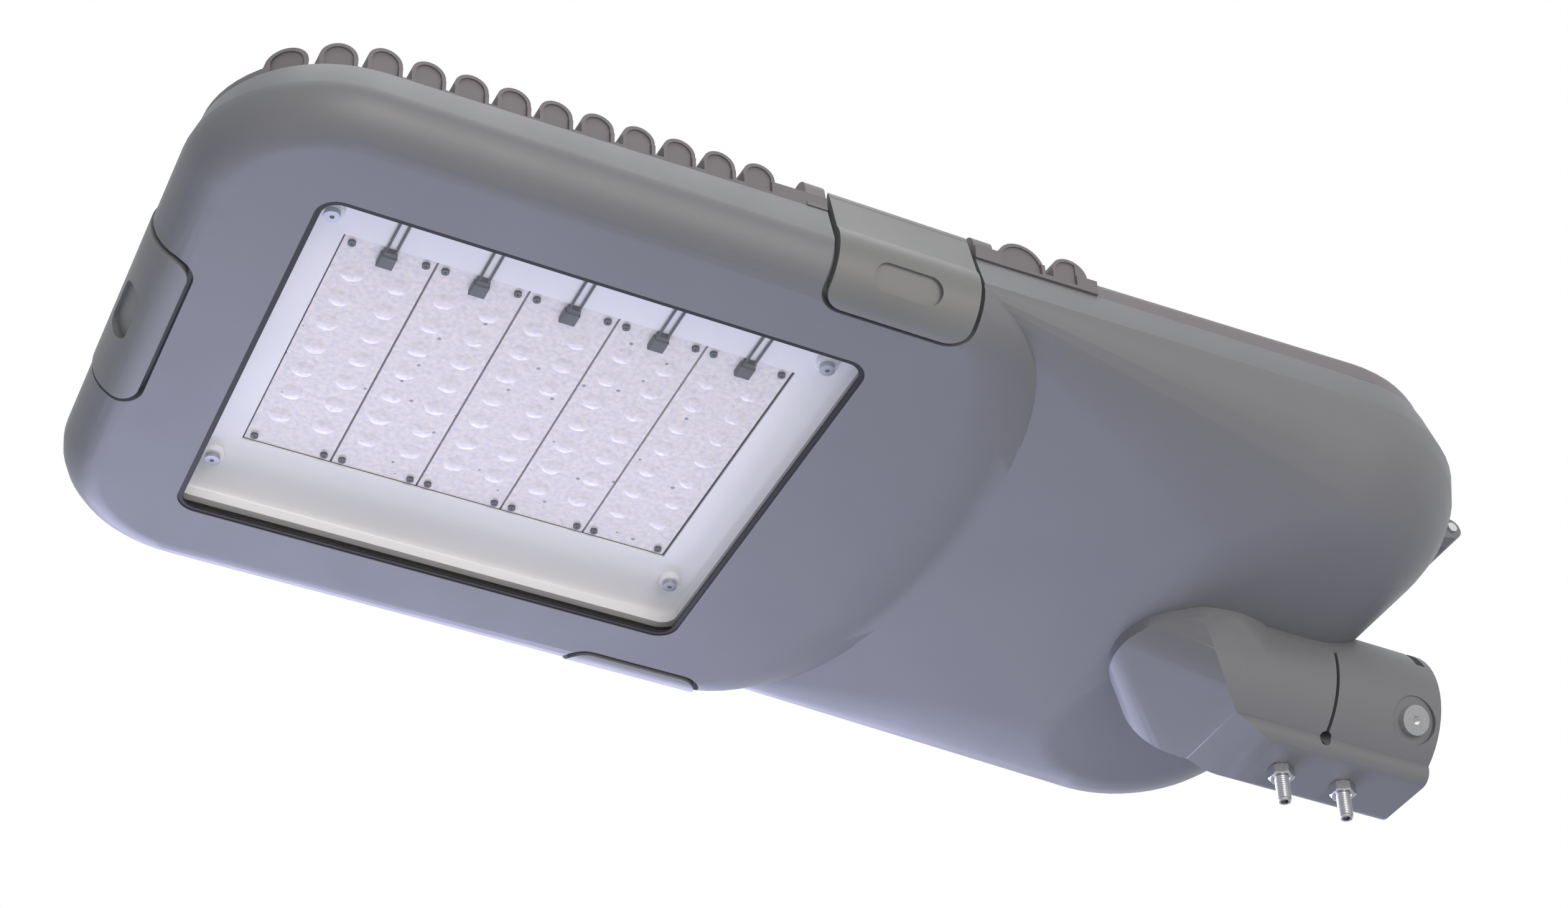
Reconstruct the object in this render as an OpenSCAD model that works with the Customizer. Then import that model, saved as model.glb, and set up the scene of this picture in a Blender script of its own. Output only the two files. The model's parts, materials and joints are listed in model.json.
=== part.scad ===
// LED street lantern head: finned top cover over a shell with a glass window, a gear
// compartment and an under-slung clamp socket for a horizontal pole end.
// Origin at the mouth of the socket, +X out of the mouth towards the pole, +Z up, light down.

/* [Housing] */
// Length of the housing from nose to rear wall
housing_l = 716; // [700:2:740]
// Width of the housing at its belt line
housing_w = 366; // [360:2:384]
// Plan radius of the nose corners
nose_r = 75; // [66:1:82]
// Plan radius of the rear corners
rear_r = 95; // [86:1:104]
// Height of the rim above the underside, beside the side latches
rim_h = 48; // [46:1:50]
// Angle at which the rim and cover rise towards the pole
tilt = 1.8; // [1:0.1:2.2]
// Inward lean of the walls above the belt line
lean = 17; // [14:0.5:19]
// Wall of the castings
wall = 4; // [3:0.5:5]
// Radius of the lower edge of the optical pod
edge_r = 22; // [20:1:24]
// Thickness of the rim flange
flange_t = 5; // [4:0.5:7]

/* [Pod and belly] */
// Distance from the nose to the widest point of the pod's rear curve
pod_l = 376; // [370:1:384]
// Length of the flat part of that rear curve
pod_end_l = 44; // [34:1:50]
// Radius at which the pod's rear end rises
pod_rise_r = 150; // [130:5:180]
// Height of the belly's front end above the underside
belly_rise = 20; // [16:1:24]
// Depth of the belly below the underside at the rear
belly_drop = 20; // [16:1:24]
// Radius of the belly's lower edge at the rear
belly_edge_r = 55; // [48:1:60]

/* [Window] */
// Distance from the nose to the middle of the window
win_x = 207; // [203:1:211]
// Length of the window opening
win_l = 286; // [276:2:290]
// Width of the window opening
win_w = 256; // [250:2:260]
// Corner radius of the window opening
win_r = 12; // [8:1:16]
// Thickness of the glass pane
glass_t = 5; // [4:0.5:6]
// How far the pane lies on its bed past the opening
glass_lap = 6; // [5:0.5:7]
// Thickness of the gasket below the pane
seal_t = 1.5; // [1:0.25:2]
// Width of the gasket lip that lines the opening
lip_w = 3; // [2:0.5:4]

/* [LED modules] */
// Number of modules
module_n = 5; // [4:1:5]
// Distance between neighbouring modules
module_pitch = 48; // [46:0.5:50]
// Length of one module across the housing
module_l = 170; // [160:2:176]
// Gap between neighbouring modules
module_gap = 1; // [0.5:0.25:2]
// Thickness of a module's circuit board
board_t = 2; // [1.5:0.25:3]
// Thickness of a module's lens plate
lens_t = 6; // [5:0.5:7]
// Lenses across one module
lens_cols = 2; // [1:1:3]
// Lenses along one module
lens_rows = 7; // [5:1:8]
// Radius of one lens
lens_r = 8; // [6:0.5:8.5]
// Height of the module seat above the underside
pad_h = 31; // [30:0.5:33]

/* [Reflector] */
// Sheet thickness of the reflector frame
sheet_t = 1.2; // [0.8:0.1:1.6]
// How far the outer edge of the frame lies below its inner edge
reflector_fall = 5; // [3:0.5:6]
// Running distance between reflector skirt and glass
reflector_gap = 0.3; // [0.2:0.1:0.6]

/* [Latches] */
// Width of a side latch
side_latch_w = 79; // [70:1:84]
// Width of the nose latch
nose_latch_w = 112; // [100:1:124]
// Distance from the nose to the middle of the side latches
side_latch_x = 344; // [341:1:346]
// Thickness of the latch plates
latch_t = 5.5; // [4.5:0.5:6]
// Gap round a latch
latch_gap = 2; // [1.5:0.25:3]
// Outer radius of the latch knuckle
knuckle_r = 8; // [7:0.5:8.5]
// Diameter of the latch pins
pin_d = 5; // [4:0.5:6]
// Running clearance of a pin in its bore
pin_play = 0.05; // [0.03:0.01:0.08]

/* [Cover] */
// Distance between neighbouring ribs
rib_pitch = 21.3; // [20.5:0.1:22]
// Width of one rib
rib_w = 17; // [14:0.5:18]
// Height of the rib tops above the cover's lower face, at the sides
rib_h = 19; // [17:0.5:21]
// How far the ribs stand above the skin between them
rib_proud = 10; // [8:0.5:11]
// Ribs in front of the side latches
rib_n = 12; // [8:1:12]
// Rise of the cover from its sides to the middle
crown = 12; // [8:1:16]
// Thickness of the cover's skin
skin_t = 3.5; // [3:0.25:4.5]
// Inset of the cover seal from the belt outline
seal_in = 31; // [30:0.5:32]
// Width of the cover seal
seal_w = 4; // [3:0.5:5]
// Gap between rim and cover, which the seal fills
seam = 0.6; // [0.4:0.1:1]
// Distance from the nose to the smooth gear lid
lid_x = 456; // [454:1:460]

/* [Pole socket] */
// Bore of the socket
socket_bore = 62; // [60:1:66]
// Outer diameter of the socket
socket_od = 90; // [86:1:94]
// Depth of the bore
socket_depth = 112; // [100:2:116]
// How far the socket stands out of the rear wall
socket_out = 28; // [20:1:36]
// Height of the housing's underside above the socket's axis
axis_drop = 28; // [26:1:30]
// Distance from the mouth to the clamp slit
slit_x = 68; // [62:1:74]
// Width of the clamp slit
slit_w = 2; // [1.5:0.25:3]
// Width of the bolt boss under the socket
boss_w = 50; // [44:1:56]
// Depth of the bolt boss below the axis
boss_drop = 47; // [46:0.5:52]
// Distance between the clamp bolts
bolt_pitch = 40; // [34:1:44]
// Distance from the mouth to the first clamp bolt
bolt_x = 42; // [38:1:46]
// Thread diameter of the clamp bolts
bolt_d = 8; // [6:1:10]
// How far the bolts stand out below the boss
bolt_out = 16; // [12:1:22]

/* [Gear] */
// Length of the driver across the housing
driver_l = 200; // [160:5:220]
// Width of the driver
driver_w = 70; // [60:2:76]
// Height of the driver
driver_h = 36; // [26:1:38]
// Height of the gear tray above the underside
tray_h = 22; // [20:0.5:24]

/* [Hidden] */
$fn = 64;
eps = 0.01;
nose_x = -(socket_out + housing_l);
rear_d = housing_l;
half_w = housing_w / 2;
cover_z = rim_h + seam;
fit = 0.3;

// Latch section, measured from the belt wall (inwards negative) and from the underside
belt_h = edge_r;
side_pivot_h = rim_h + 13;
nose_pivot_h = rim_h - side_latch_x * tan(tilt) + 9.5;
lip_u = -(edge_r + 2);
latch_proud = 0.6;
ear_w = 11;
ear_h = knuckle_r + 1.5;
pin_r = pin_d / 2;
bore_r = pin_r + pin_play;
grip_l = 38;
grip_w = 15;
grip_d = 3;

// Inset of the leaning wall at a height, and the place of a latch pivot inside it
function wall_in(h) = max(0, h - belt_h) * tan(lean);
function pivot_u(h) = latch_proud - wall_in(h) - knuckle_r / cos(lean);
function notch_u(h) = pivot_u(h) - knuckle_r - 1;

// Cover crown: a cylinder about an axis along X, through the rib tops
cover_in = 8;
crown_half = half_w - cover_in;
crown_r = (crown_half * crown_half + crown * crown) / (2 * crown);
rib_top = cover_z + rib_h + crown;
crown_axis_z = rib_top - crown_r;
rib_x0 = 33.6;
mid_rib_n = 5;
rear_ribs = [[414, 27], [442.5, 21]];
rib_recess = 6;
rib_rim = 2;
seal_z = rim_h - 2;
flange_in = seal_in + seal_w + 4;
top_h = rim_h + 20;
pod_crease = 12;
lid_in = 11;
lid_lap = 2;

// Modules and reflector
tray_l = module_n * module_pitch;
module_w = module_pitch - module_gap;
lens_face = pad_h - board_t - lens_t;
glass_z = wall + seal_t;
glass_top = glass_z + glass_t;
pane_l = win_l + 2 * glass_lap;
pane_w = win_w + 2 * glass_lap;
refl_l = win_l - 2;
refl_w = win_w - 2;
post_x = 131;
post_y = 101;
lead_d = 2.4;

latch_corner = 12;
belly_front_r = 6;
latch_clear = 0.5;
shoulder_r = 12;

// Pole socket and keel
root_t = 14;
entry_r = 10;
keel_x = 132;
keel_a = 46;
keel_b = 48;
drum_x = 92;
drum_z = 15;
drum_r = boss_drop + drum_z;
boss_l = 126;
relief_r = 3.5;
relief_a = 146;
lock_d = 8;
lock_x = 17;
lock_a = 117.5;
nose_fall = 7;
lock_seat = 42;
lock_face_r = 14;
rim_step_x = 10;
rim_step_w = 6;
rim_step_d = 3;

// Fixings in the lower housing
clip_out = 9.5;
clip_boss_r = 5;
clip_w = 12;
clip_t = 1.5;
tray_x = 605;
tray_pl = 180;
tray_pw = 220;
tray_t = 2;
post_r = 6;
pilot_l = 12;

// Cover pad, webs and posts
pad_t = 5;
web_t = 5;
post_foot = lens_face;

// Modules: screws, connectors and lenses
module_screw_d = 3;
module_screw_head = 6.5;
screw_in = 4.5;
conn_w = 10;
conn_l = 13;
conn_h = 4;
lens_end = 16;
lens_proud = 3;

// Gear on the tray
driver_x = 560;
gear_x = 640;
surge_y = 62;
surge_w = 40;
surge_l = 58;
surge_h = 27;
term_w = 26;
term_l = 76;
term_h = 22;

// Screws
screw_d = 4;
screw_head_d = 8;
screw_head_h = 3;
clip_lap = 3.5;
lock_head_r = 8.5;
lock_head_h = 5;

// Rear hinge
hinge_back = 8.5;
hinge_z = 42;
hinge_r = 6.5;
hinge_pin_d = 6;
hinge_y = 82;
hinge_lug_w = 10;
hinge_mid_w = 17;
arm_gap = 1;
arm_t = 5;

// Housing frame: x from the nose, z from the underside of the pod
module housed() {
    translate([nose_x, 0, axis_drop]) children();
}

// Frame of the rim and cover: the housing frame turned about the middle of the side latches
module tilted() {
    translate([side_latch_x, 0, 0]) rotate([0, -tilt, 0])
        translate([-side_latch_x, 0, 0]) children();
}

// Everything above the rim, to cut the lower housing off
module above_rim() {
    tilted() translate([-housing_l, -housing_w, rim_h]) cube([3 * housing_l, 2 * housing_w, housing_w]);
}

// Plan outline of the whole housing, set in from the belt line
module plan(inset = 0) {
    yn = half_w - nose_r;
    yr = half_w - rear_r;
    for (s = [-1, 1]) {
        translate([nose_r, s * yn]) circle(r = nose_r - inset);
        translate([rear_d - rear_r, s * yr]) circle(r = rear_r - inset);
    }
    polygon([
        [inset, -yn], [nose_r, -(half_w - inset)],
        [rear_d - rear_r, -(half_w - inset)], [rear_d - inset, -yr],
        [rear_d - inset, yr], [rear_d - rear_r, half_w - inset],
        [nose_r, half_w - inset], [inset, yn]
    ]);
}

// Rectangle with round corners, centred
module round_rect(l, w, r) {
    square([l - 2 * r, w], center = true);
    square([l, w - 2 * r], center = true);
    for (sx = [-1, 1], sy = [-1, 1])
        translate([sx * (l / 2 - r), sy * (w / 2 - r)]) circle(r = r);
}

module round_plate(l, w, r, t) {
    linear_extrude(t) round_rect(l, w, r);
}

// Levels of a rounded lower edge: height and inset for each step of the arc
function edge_levels(z0, r, t) =
    [for (a = [0:15:90]) [z0 + t + (r - t) * (1 - cos(a)), t + (r - t) * (1 - sin(a))]];

// Length of the pod's rear end at a height above its flat face
function end_l(h) =
    pod_end_l + sqrt(pow(pod_rise_r, 2) - pow(pod_rise_r - min(h, pod_crease), 2));

// Optical pod: flat face below, rounded nose corners and an elliptical rear end
module pod_form(t) {
    levels = concat(edge_levels(0, edge_r, t), [[top_h, t + wall_in(top_h)]]);
    hull() for (i = [0 : len(levels) - 2]) {
        z0 = levels[i][0];
        z1 = levels[i + 1][0];
        in0 = levels[i][1];
        in1 = levels[i + 1][1];
        for (s = [-1, 1]) translate([nose_r, s * (half_w - nose_r), z0])
            cylinder(h = z1 - z0, r1 = nose_r - in0, r2 = nose_r - in1);
        a0 = end_l(z0 - t) - t;
        a1 = end_l(z1 - t) - t;
        b0 = half_w - in0;
        b1 = half_w - in1;
        translate([pod_l, 0, z0]) linear_extrude(z1 - z0, scale = [a1 / a0, b1 / b0], slices = 1)
            scale([a0, b0]) circle(r = 1);
    }
}

// Belly: sinks from inside the pod's rear end to a broad rounded tail
module belly_form(t) {
    tail = concat(edge_levels(-belly_drop, belly_edge_r, t + wall_in(belly_edge_r - belly_drop)),
        [[top_h, t + wall_in(top_h)]]);
    front = concat(edge_levels(belly_rise, belly_front_r, t + 1), [[top_h, t + wall_in(top_h) + 1]]);
    hull() {
        for (i = [0 : len(tail) - 2], s = [-1, 1])
            translate([rear_d - rear_r, s * (half_w - rear_r), tail[i][0]])
                cylinder(h = tail[i + 1][0] - tail[i][0],
                    r1 = rear_r - tail[i][1], r2 = rear_r - tail[i + 1][1]);
        for (f = front)
            translate([pod_l + 1, 0, f[0]])
                cube([eps, 2 * (half_w - f[1]), 2 * eps], center = true);
    }
}

// Drum across the socket that rounds off its front end below
module drum(t) {
    translate([-drum_x, 0, drum_z]) rotate([90, 0, 0])
        cylinder(h = 2 * socket_od, r = drum_r - t, center = true);
}

// Keel: the socket's rounded front end, drawn out into the belly
module keel_form(t) {
    hull() {
        intersection() {
            tube_x(socket_od / 2 - t, -drum_x - drum_r, -socket_depth);
            drum(t);
        }
        translate([-keel_x, 0, axis_drop - belly_drop + t - 1]) scale([keel_a - t, keel_b - t, 1])
            cylinder(h = 10, r = 1);
    }
}

// Latch section: what the latch wraps round, at a clearance inside its outer face
module latch_core(c) {
    wall_u = -(latch_t + c);
    translate([-edge_r, edge_r]) circle(r = edge_r - latch_t - c);
    polygon([
        [-3 * edge_r, latch_t + c], [-edge_r, latch_t + c], [-edge_r, edge_r],
        [wall_u, edge_r], [wall_u - wall_in(top_h), top_h], [-3 * edge_r, top_h]
    ]);
}

// Outer face of a latch, flush with the housing
module latch_face(h) {
    translate([-edge_r, edge_r]) circle(r = edge_r + latch_proud);
    polygon([
        [lip_u, -latch_proud], [-edge_r, -latch_proud], [-edge_r, edge_r],
        [latch_proud, edge_r], [latch_proud - wall_in(h), h], [lip_u, h]
    ]);
}

module latch_section(h) {
    difference() {
        intersection() {
            latch_face(h);
            translate([lip_u, -edge_r]) square([3 * edge_r, h + edge_r]);
        }
        latch_core(0);
    }
    translate([pivot_u(h), h]) circle(r = knuckle_r);
}

// Extrudes a latch section along the wall, centred
module along_wall(l) {
    rotate([90, 0, 90]) linear_extrude(l, center = true) children();
}

// Footprint of a latch seen from below, round at its two free corners
module latch_print(w, grow) {
    l = 3 * edge_r;
    translate([0, lip_u - grow + l / 2]) round_rect(w + 2 * grow, l, latch_corner + grow);
}

// Shallow finger grip in the rounded lower part of a latch
module finger_grip() {
    a = 31;
    translate([0, -edge_r + edge_r * cos(a), edge_r - edge_r * sin(a)])
        rotate([-90 - a, 0, 0]) translate([0, 0, -grip_d]) linear_extrude(grip_d + edge_r)
            round_rect(grip_l, grip_w, grip_w / 2 - eps);
}

module latch(w, h) {
    difference() {
        intersection() {
            along_wall(w) latch_section(h);
            translate([0, 0, -edge_r]) linear_extrude(4 * edge_r) latch_print(w, 0);
        }
        finger_grip();
        translate([0, pivot_u(h), h]) rotate([0, 90, 0])
            cylinder(h = 2 * w, r = bore_r, center = true);
    }
}

// Room for a latch in the lower housing
module latch_pocket(w) {
    intersection() {
        along_wall(w + 2 * latch_gap) difference() {
            translate([lip_u - latch_gap, -edge_r]) square([3 * edge_r, top_h + edge_r]);
            latch_core(latch_clear);
        }
        translate([0, 0, -2 * edge_r]) linear_extrude(6 * edge_r) latch_print(w, latch_gap);
    }
}

// Metal that closes the lower housing behind a latch pocket
module latch_backing(w) {
    along_wall(w + 2 * latch_gap + 2 * wall) difference() {
        translate([lip_u - latch_gap - wall, 0]) square([3 * edge_r, top_h]);
        latch_core(latch_clear + wall);
    }
}

// Places a latch feature at each of the three latches
module at_nose() {
    rotate([0, 0, 90]) children();
}

module at_right() {
    translate([side_latch_x, half_w, 0]) children();
}

module at_left() {
    mirror([0, 1, 0]) at_right() children();
}

module tube_x(r, x0, x1) {
    translate([x0, 0, 0]) rotate([0, 90, 0]) cylinder(h = x1 - x0, r = r);
}

module at_clips() {
    cx = pane_l / 2 + clip_out;
    cy = pane_w / 2 + clip_out;
    for (sx = [-1, 1], sy = [-1, 1])
        translate([win_x + sx * pane_l / 3, sy * cy, 0]) rotate([0, 0, sy * 90]) children();
    translate([win_x - cx, 0, 0]) rotate([0, 0, 180]) children();
    translate([win_x + cx, 0, 0]) children();
}

module at_tray_posts() {
    for (sx = [-1, 1], sy = [-1, 1])
        translate([tray_x + sx * (tray_pl / 2 - 10), sy * (tray_pw / 2 - 10), 0]) children();
}

module hinge_profile(foot) {
    translate([rear_d + hinge_back, hinge_z]) circle(r = hinge_r);
    polygon(foot);
}

module hinge_bar(y, w) {
    translate([0, y + w / 2, 0]) rotate([90, 0, 0]) linear_extrude(w) children();
}

// Lower hinge lugs, a pair on each side
module body_lugs() {
    step = (hinge_mid_w + hinge_lug_w) / 2 + fit;
    foot = [[rear_d - 4 * wall, hinge_z - 2 * hinge_r], [rear_d - 4 * wall, hinge_z + hinge_r],
        [rear_d + hinge_back, hinge_z + hinge_r], [rear_d + hinge_back, hinge_z - hinge_r]];
    for (s = [-1, 1], k = [-1, 1])
        hinge_bar(s * hinge_y + k * step, hinge_lug_w) hinge_profile(foot);
}

module cover_lugs() {
    z0 = cover_z + (rear_d - side_latch_x) * tan(tilt) + fit;
    side = rear_d + arm_gap;
    foot = [[rear_d - lid_in - 2 * wall, z0], [side - wall_in(z0), z0],
        [side - wall_in(hinge_z), hinge_z], [rear_d + hinge_back, hinge_z - hinge_r],
        [rear_d + hinge_back + hinge_r, hinge_z],
        [side - wall_in(z0 + arm_t) + arm_t, z0 + arm_t], [rear_d - lid_in - 2 * wall, z0 + 2 * arm_t]];
    for (s = [-1, 1])
        hinge_bar(s * hinge_y, hinge_mid_w) hinge_profile(foot);
}

module hinge_bores() {
    for (s = [-1, 1])
        translate([rear_d + hinge_back, s * hinge_y, hinge_z]) rotate([90, 0, 0])
            cylinder(h = 3 * hinge_mid_w, r = hinge_pin_d / 2 + pin_play, center = true);
}

// Pole socket and its bolt boss, without bores
module socket_solid() {
    intersection() {
        union() {
            tube_x(socket_od / 2, -(socket_depth + root_t), 0);
            translate([-boss_l, -boss_w / 2, -boss_drop]) cube([boss_l, boss_w, boss_drop]);
        }
        union() {
            drum(0);
            translate([-drum_x, -socket_od, -socket_od]) cube([2 * drum_x, 2 * socket_od, 2 * socket_od]);
        }
    }
}

// Everything cut out of the socket: bore, entry, bolts, slit and rim step
module socket_cuts() {
    tube_x(socket_bore / 2, -socket_depth, 1);
    tube_x(entry_r, -(socket_depth + root_t + 1), -socket_depth + 1);
    for (i = [0, 1]) translate([-(bolt_x + i * bolt_pitch), 0, -boss_drop - 1])
        cylinder(h = boss_drop, r = bolt_d / 2 + pin_play);
    translate([-slit_x - slit_w / 2, -socket_od, -boss_drop + 6])
        cube([slit_w, socket_od, boss_drop - 6 + axis_drop - belly_drop - 1]);
    translate([-slit_x, 0, 0]) rotate([relief_a, 0, 0]) translate([0, 0, socket_bore / 2 - 3])
        cylinder(h = socket_od, r = relief_r);
    lock_place() {
        cylinder(h = socket_od, r = lock_d / 2 + pin_play);
        translate([0, 0, lock_seat]) cylinder(h = socket_od, r = lock_face_r);
    }
    difference() {
        tube_x(socket_od / 2 + 1, -rim_step_x, -rim_step_x + rim_step_w);
        tube_x(socket_od / 2 - rim_step_d, -socket_depth, 1);
        translate([-socket_depth, -socket_od, -socket_od]) cube([2 * socket_depth, 2 * socket_od, socket_od * 1.2]);
    }
}

// Axis of the lock screw, on the left side and below the middle
module lock_place() {
    translate([-lock_x, 0, 0]) rotate([lock_a, 0, 0]) children();
}

module lower_body() color("#767a82") {
    difference() {
        union() {
            housed() {
                pod_form(0);
                belly_form(0);
                body_lugs();
            }
            keel_form(0);
            socket_solid();
        }
        difference() {
            union() {
                housed() {
                    pod_form(wall);
                    belly_form(wall);
                    tilted() translate([0, 0, rim_h - 1]) linear_extrude(2) plan(flange_in);
                }
                keel_form(wall);
            }
            tube_x(socket_od / 2, -(socket_depth + root_t), 0);
            housed() {
                at_nose() latch_backing(nose_latch_w);
                at_left() latch_backing(side_latch_w);
                at_right() latch_backing(side_latch_w);
                tilted() translate([0, 0, rim_h - flange_t]) linear_extrude(top_h) difference() {
                    translate([-10, -half_w]) square([rear_d + 20, housing_w]);
                    plan(flange_in);
                }
                at_clips() cylinder(h = glass_top, r = clip_boss_r);
                at_tray_posts() translate([0, 0, -2 * belly_drop])
                    cylinder(h = 2 * belly_drop + tray_h, r = post_r);
            }
        }
        housed() {
            at_nose() latch_pocket(nose_latch_w);
            at_left() latch_pocket(side_latch_w);
            at_right() latch_pocket(side_latch_w);
            translate([win_x, 0, -1]) round_plate(win_l, win_w, win_r, wall + 2);
            tilted() translate([0, 0, seal_z]) linear_extrude(rim_h) difference() {
                plan(seal_in);
                plan(seal_in + seal_w);
            }
            above_rim();
            at_clips() translate([0, 0, wall + 1]) cylinder(h = glass_top, r = screw_d / 2);
            at_tray_posts() translate([0, 0, tray_h - pilot_l]) cylinder(h = rim_h, r = screw_d / 2);
            hinge_bores();
        }
        socket_cuts();
    }
}

// Space below the cover's crown, which falls off in front of the nose corners
module crown_solid(r) {
    z = cover_z + rib_h;
    intersection() {
        crown_tube(r);
        translate([nose_r, 0, z]) rotate([0, -nose_fall, 0]) translate([-nose_r, 0, -z]) crown_tube(r);
    }
}

module crown_tube(r) {
    translate([0, 0, crown_axis_z]) rotate([0, 90, 0])
        cylinder(h = 3 * rear_d, r = r, center = true, $fn = 720);
}

// One rib across the cover, swept round the crown; grow shrinks or widens its section
module rib(x, w, grow, depth) {
    half_a = asin(half_w / crown_r) + 1;
    drop = max(0, nose_r - x) * tan(nose_fall);
    translate([x, 0, crown_axis_z - drop]) rotate([0, 90, 0]) rotate([0, 0, 180 - half_a])
        rotate_extrude(angle = 2 * half_a, $fn = 720) {
            translate([crown_r - w / 2, 0]) circle(r = w / 2 + grow, $fn = 32);
            translate([crown_r - depth, -(w / 2 + grow)]) square([depth - w / 2, w + 2 * grow]);
        }
}

module side_ribs(grow, depth) {
    for (i = [0 : rib_n - 1]) rib(rib_x0 + i * rib_pitch, rib_w, grow, depth);
    for (r = rear_ribs) rib(r[0], r[1], grow, depth);
}

module middle_ribs(grow, depth) {
    for (i = [rib_n : rib_n + mid_rib_n - 1]) rib(rib_x0 + i * rib_pitch, rib_w, grow, depth);
}

// Crowned slab under a plan outline
module crowned(inset, r) {
    intersection() {
        translate([0, 0, cover_z]) linear_extrude(rib_top) plan(inset);
        crown_solid(r);
    }
}

// Zone in front of a distance from the nose
module front_zone(x) {
    translate([-10, -half_w, 0]) cube([x + 10, housing_w, 2 * rib_top]);
}

// Smooth lid over the gear: vertical skirt, round shoulder and pillow crown
module lid_form(t) {
    sh = cover_z + rib_h - shoulder_r;
    in0 = lid_in + (rib_h - shoulder_r) * tan(lean);
    arc = [for (a = [0:15:90]) [sh + (shoulder_r - t) * sin(a),
        in0 + t + (shoulder_r - t) * (1 - cos(a))]];
    span = half_w - in0 - shoulder_r;
    top = [for (k = [1:6]) let (q = k / 6.5)
        [sh + shoulder_r - t + crown * (1 - pow(1 - q, 2)), in0 + shoulder_r + span * q]];
    levels = concat([[cover_z - t, lid_in + t]], arc, top);
    hull() {
        for (i = [0 : len(levels) - 2], s = [-1, 1]) {
            r0 = max(rear_r - levels[i][1], 1);
            r1 = max(rear_r - levels[i + 1][1], 1);
            c = max(levels[i][1], rear_r - 1);
            translate([rear_d - c - 1, s * (half_w - c - 1), levels[i][0]])
                cylinder(h = levels[i + 1][0] - levels[i][0], r1 = r0, r2 = r1);
        }
        translate([lid_x + t, 0, 0]) rotate([90, 0, 90]) linear_extrude(lid_lap)
            polygon(concat(
                [for (l = levels) [half_w - l[1], l[0]]],
                [for (i = [len(levels) - 1 : -1 : 0]) [levels[i][1] - half_w, levels[i][0]]]
            ));
    }
}

module top_cover() color("#6f6c70") {
    valley_r = crown_r - rib_proud;
    pad_l = tray_l + 8;
    pad_w = module_l + 6;
    housed() difference() {
        union() {
            tilted() difference() {
                union() {
                    intersection() {
                        union() {
                            crowned(cover_in, valley_r);
                            intersection() {
                                side_ribs(0, rib_h + 3);
                                translate([0, 0, cover_z]) linear_extrude(rib_top)
                                    plan(cover_in + 1);
                            }
                            intersection() {
                                middle_ribs(0, rib_h);
                                translate([0, 0, cover_z]) linear_extrude(rib_top)
                                    plan(-notch_u(side_pivot_h) + ear_w);
                            }
                        }
                        front_zone(lid_x + lid_lap);
                    }
                    lid_form(0);
                }
                intersection() {
                    crown_solid(valley_r - skin_t);
                    front_zone(lid_x);
                    linear_extrude(2 * rib_top) plan(flange_in);
                }
                intersection() {
                    lid_form(skin_t);
                    translate([0, -half_w, cover_z + flange_t])
                        cube([rear_d, housing_w, rib_top]);
                }
                linear_extrude(cover_z + flange_t + eps) plan(flange_in);
                intersection() {
                    side_ribs(-rib_rim, rib_h - rib_rim);
                    translate([0, 0, cover_z + rib_rim]) linear_extrude(rib_top) difference() {
                        translate([-10, -half_w]) square([lid_x, housing_w]);
                        plan(cover_in + 1 + rib_recess);
                    }
                }
            }
            intersection() {
                tilted() crown_solid(valley_r - 1);
                union() {
                    translate([win_x, 0, pad_h + pad_t / 2])
                        cube([pad_l, pad_w, pad_t], center = true);
                    for (i = [0 : module_n]) translate([win_x + (i - module_n / 2) * module_pitch,
                        0, pad_h + rib_top / 2]) cube([web_t, pad_w, rib_top], center = true);
                    at_posts() translate([0, 0, post_foot]) cylinder(h = rib_top, r = post_r);
                }
            }
            difference() {
                union() {
                    at_nose() latch_ears(nose_latch_w, nose_pivot_h);
                    at_left() latch_ears(side_latch_w, side_pivot_h);
                    at_right() latch_ears(side_latch_w, side_pivot_h);
                }
                tilted() translate([-housing_l, -housing_w, cover_z - housing_w])
                    cube([3 * housing_l, 2 * housing_w, housing_w]);
            }
            cover_lugs();
        }
        at_nose() latch_notch(nose_latch_w, nose_pivot_h);
        at_left() latch_notch(side_latch_w, side_pivot_h);
        at_right() latch_notch(side_latch_w, side_pivot_h);
        at_posts() translate([0, 0, post_foot - 1]) cylinder(h = pilot_l + 1, r = screw_d / 2);
        at_module_screws() translate([0, 0, pad_h - 1]) cylinder(h = pad_t, r = module_screw_d / 2);
        hinge_bores();
    }
}

// Ears that carry a latch pin, one at each end of the knuckle
module latch_ears(w, h) {
    u = pivot_u(h);
    foot = h - 2 * ear_h;
    for (s = [-1, 1]) translate([s * (w / 2 + latch_gap + ear_w / 2), 0, 0]) along_wall(ear_w) {
        translate([u, h]) circle(r = ear_h);
        polygon([[u - ear_h, h], [u - ear_h, foot], [-wall_in(foot), foot],
            [u + ear_h * cos(lean), h + ear_h * sin(lean)]]);
    }
}

// Clear space for a latch knuckle between its ears, with the pin's bores
module latch_notch(w, h) {
    along_wall(w + 2 * latch_gap) translate([notch_u(h), 0])
        square([-notch_u(h) + 10, 2 * rib_top]);
    translate([0, pivot_u(h), h]) rotate([0, 90, 0])
        cylinder(h = w + 2 * latch_gap + 2 * ear_w + 2, r = bore_r, center = true);
}

module at_posts() {
    for (sx = [-1, 1], sy = [-1, 1])
        translate([win_x + sx * post_x, sy * post_y, 0]) children();
}

module at_module(i) {
    translate([win_x + (i - (module_n + 1) / 2) * module_pitch, 0, 0]) children();
}

module at_one_modules_screws() {
    for (sx = [-1, 1], sy = [-1, 1])
        translate([sx * (module_w / 2 - screw_in), sy * (module_l / 2 - screw_in), 0]) children();
}

module at_module_screws() {
    for (i = [1 : module_n]) at_module(i) at_one_modules_screws() children();
}

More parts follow.
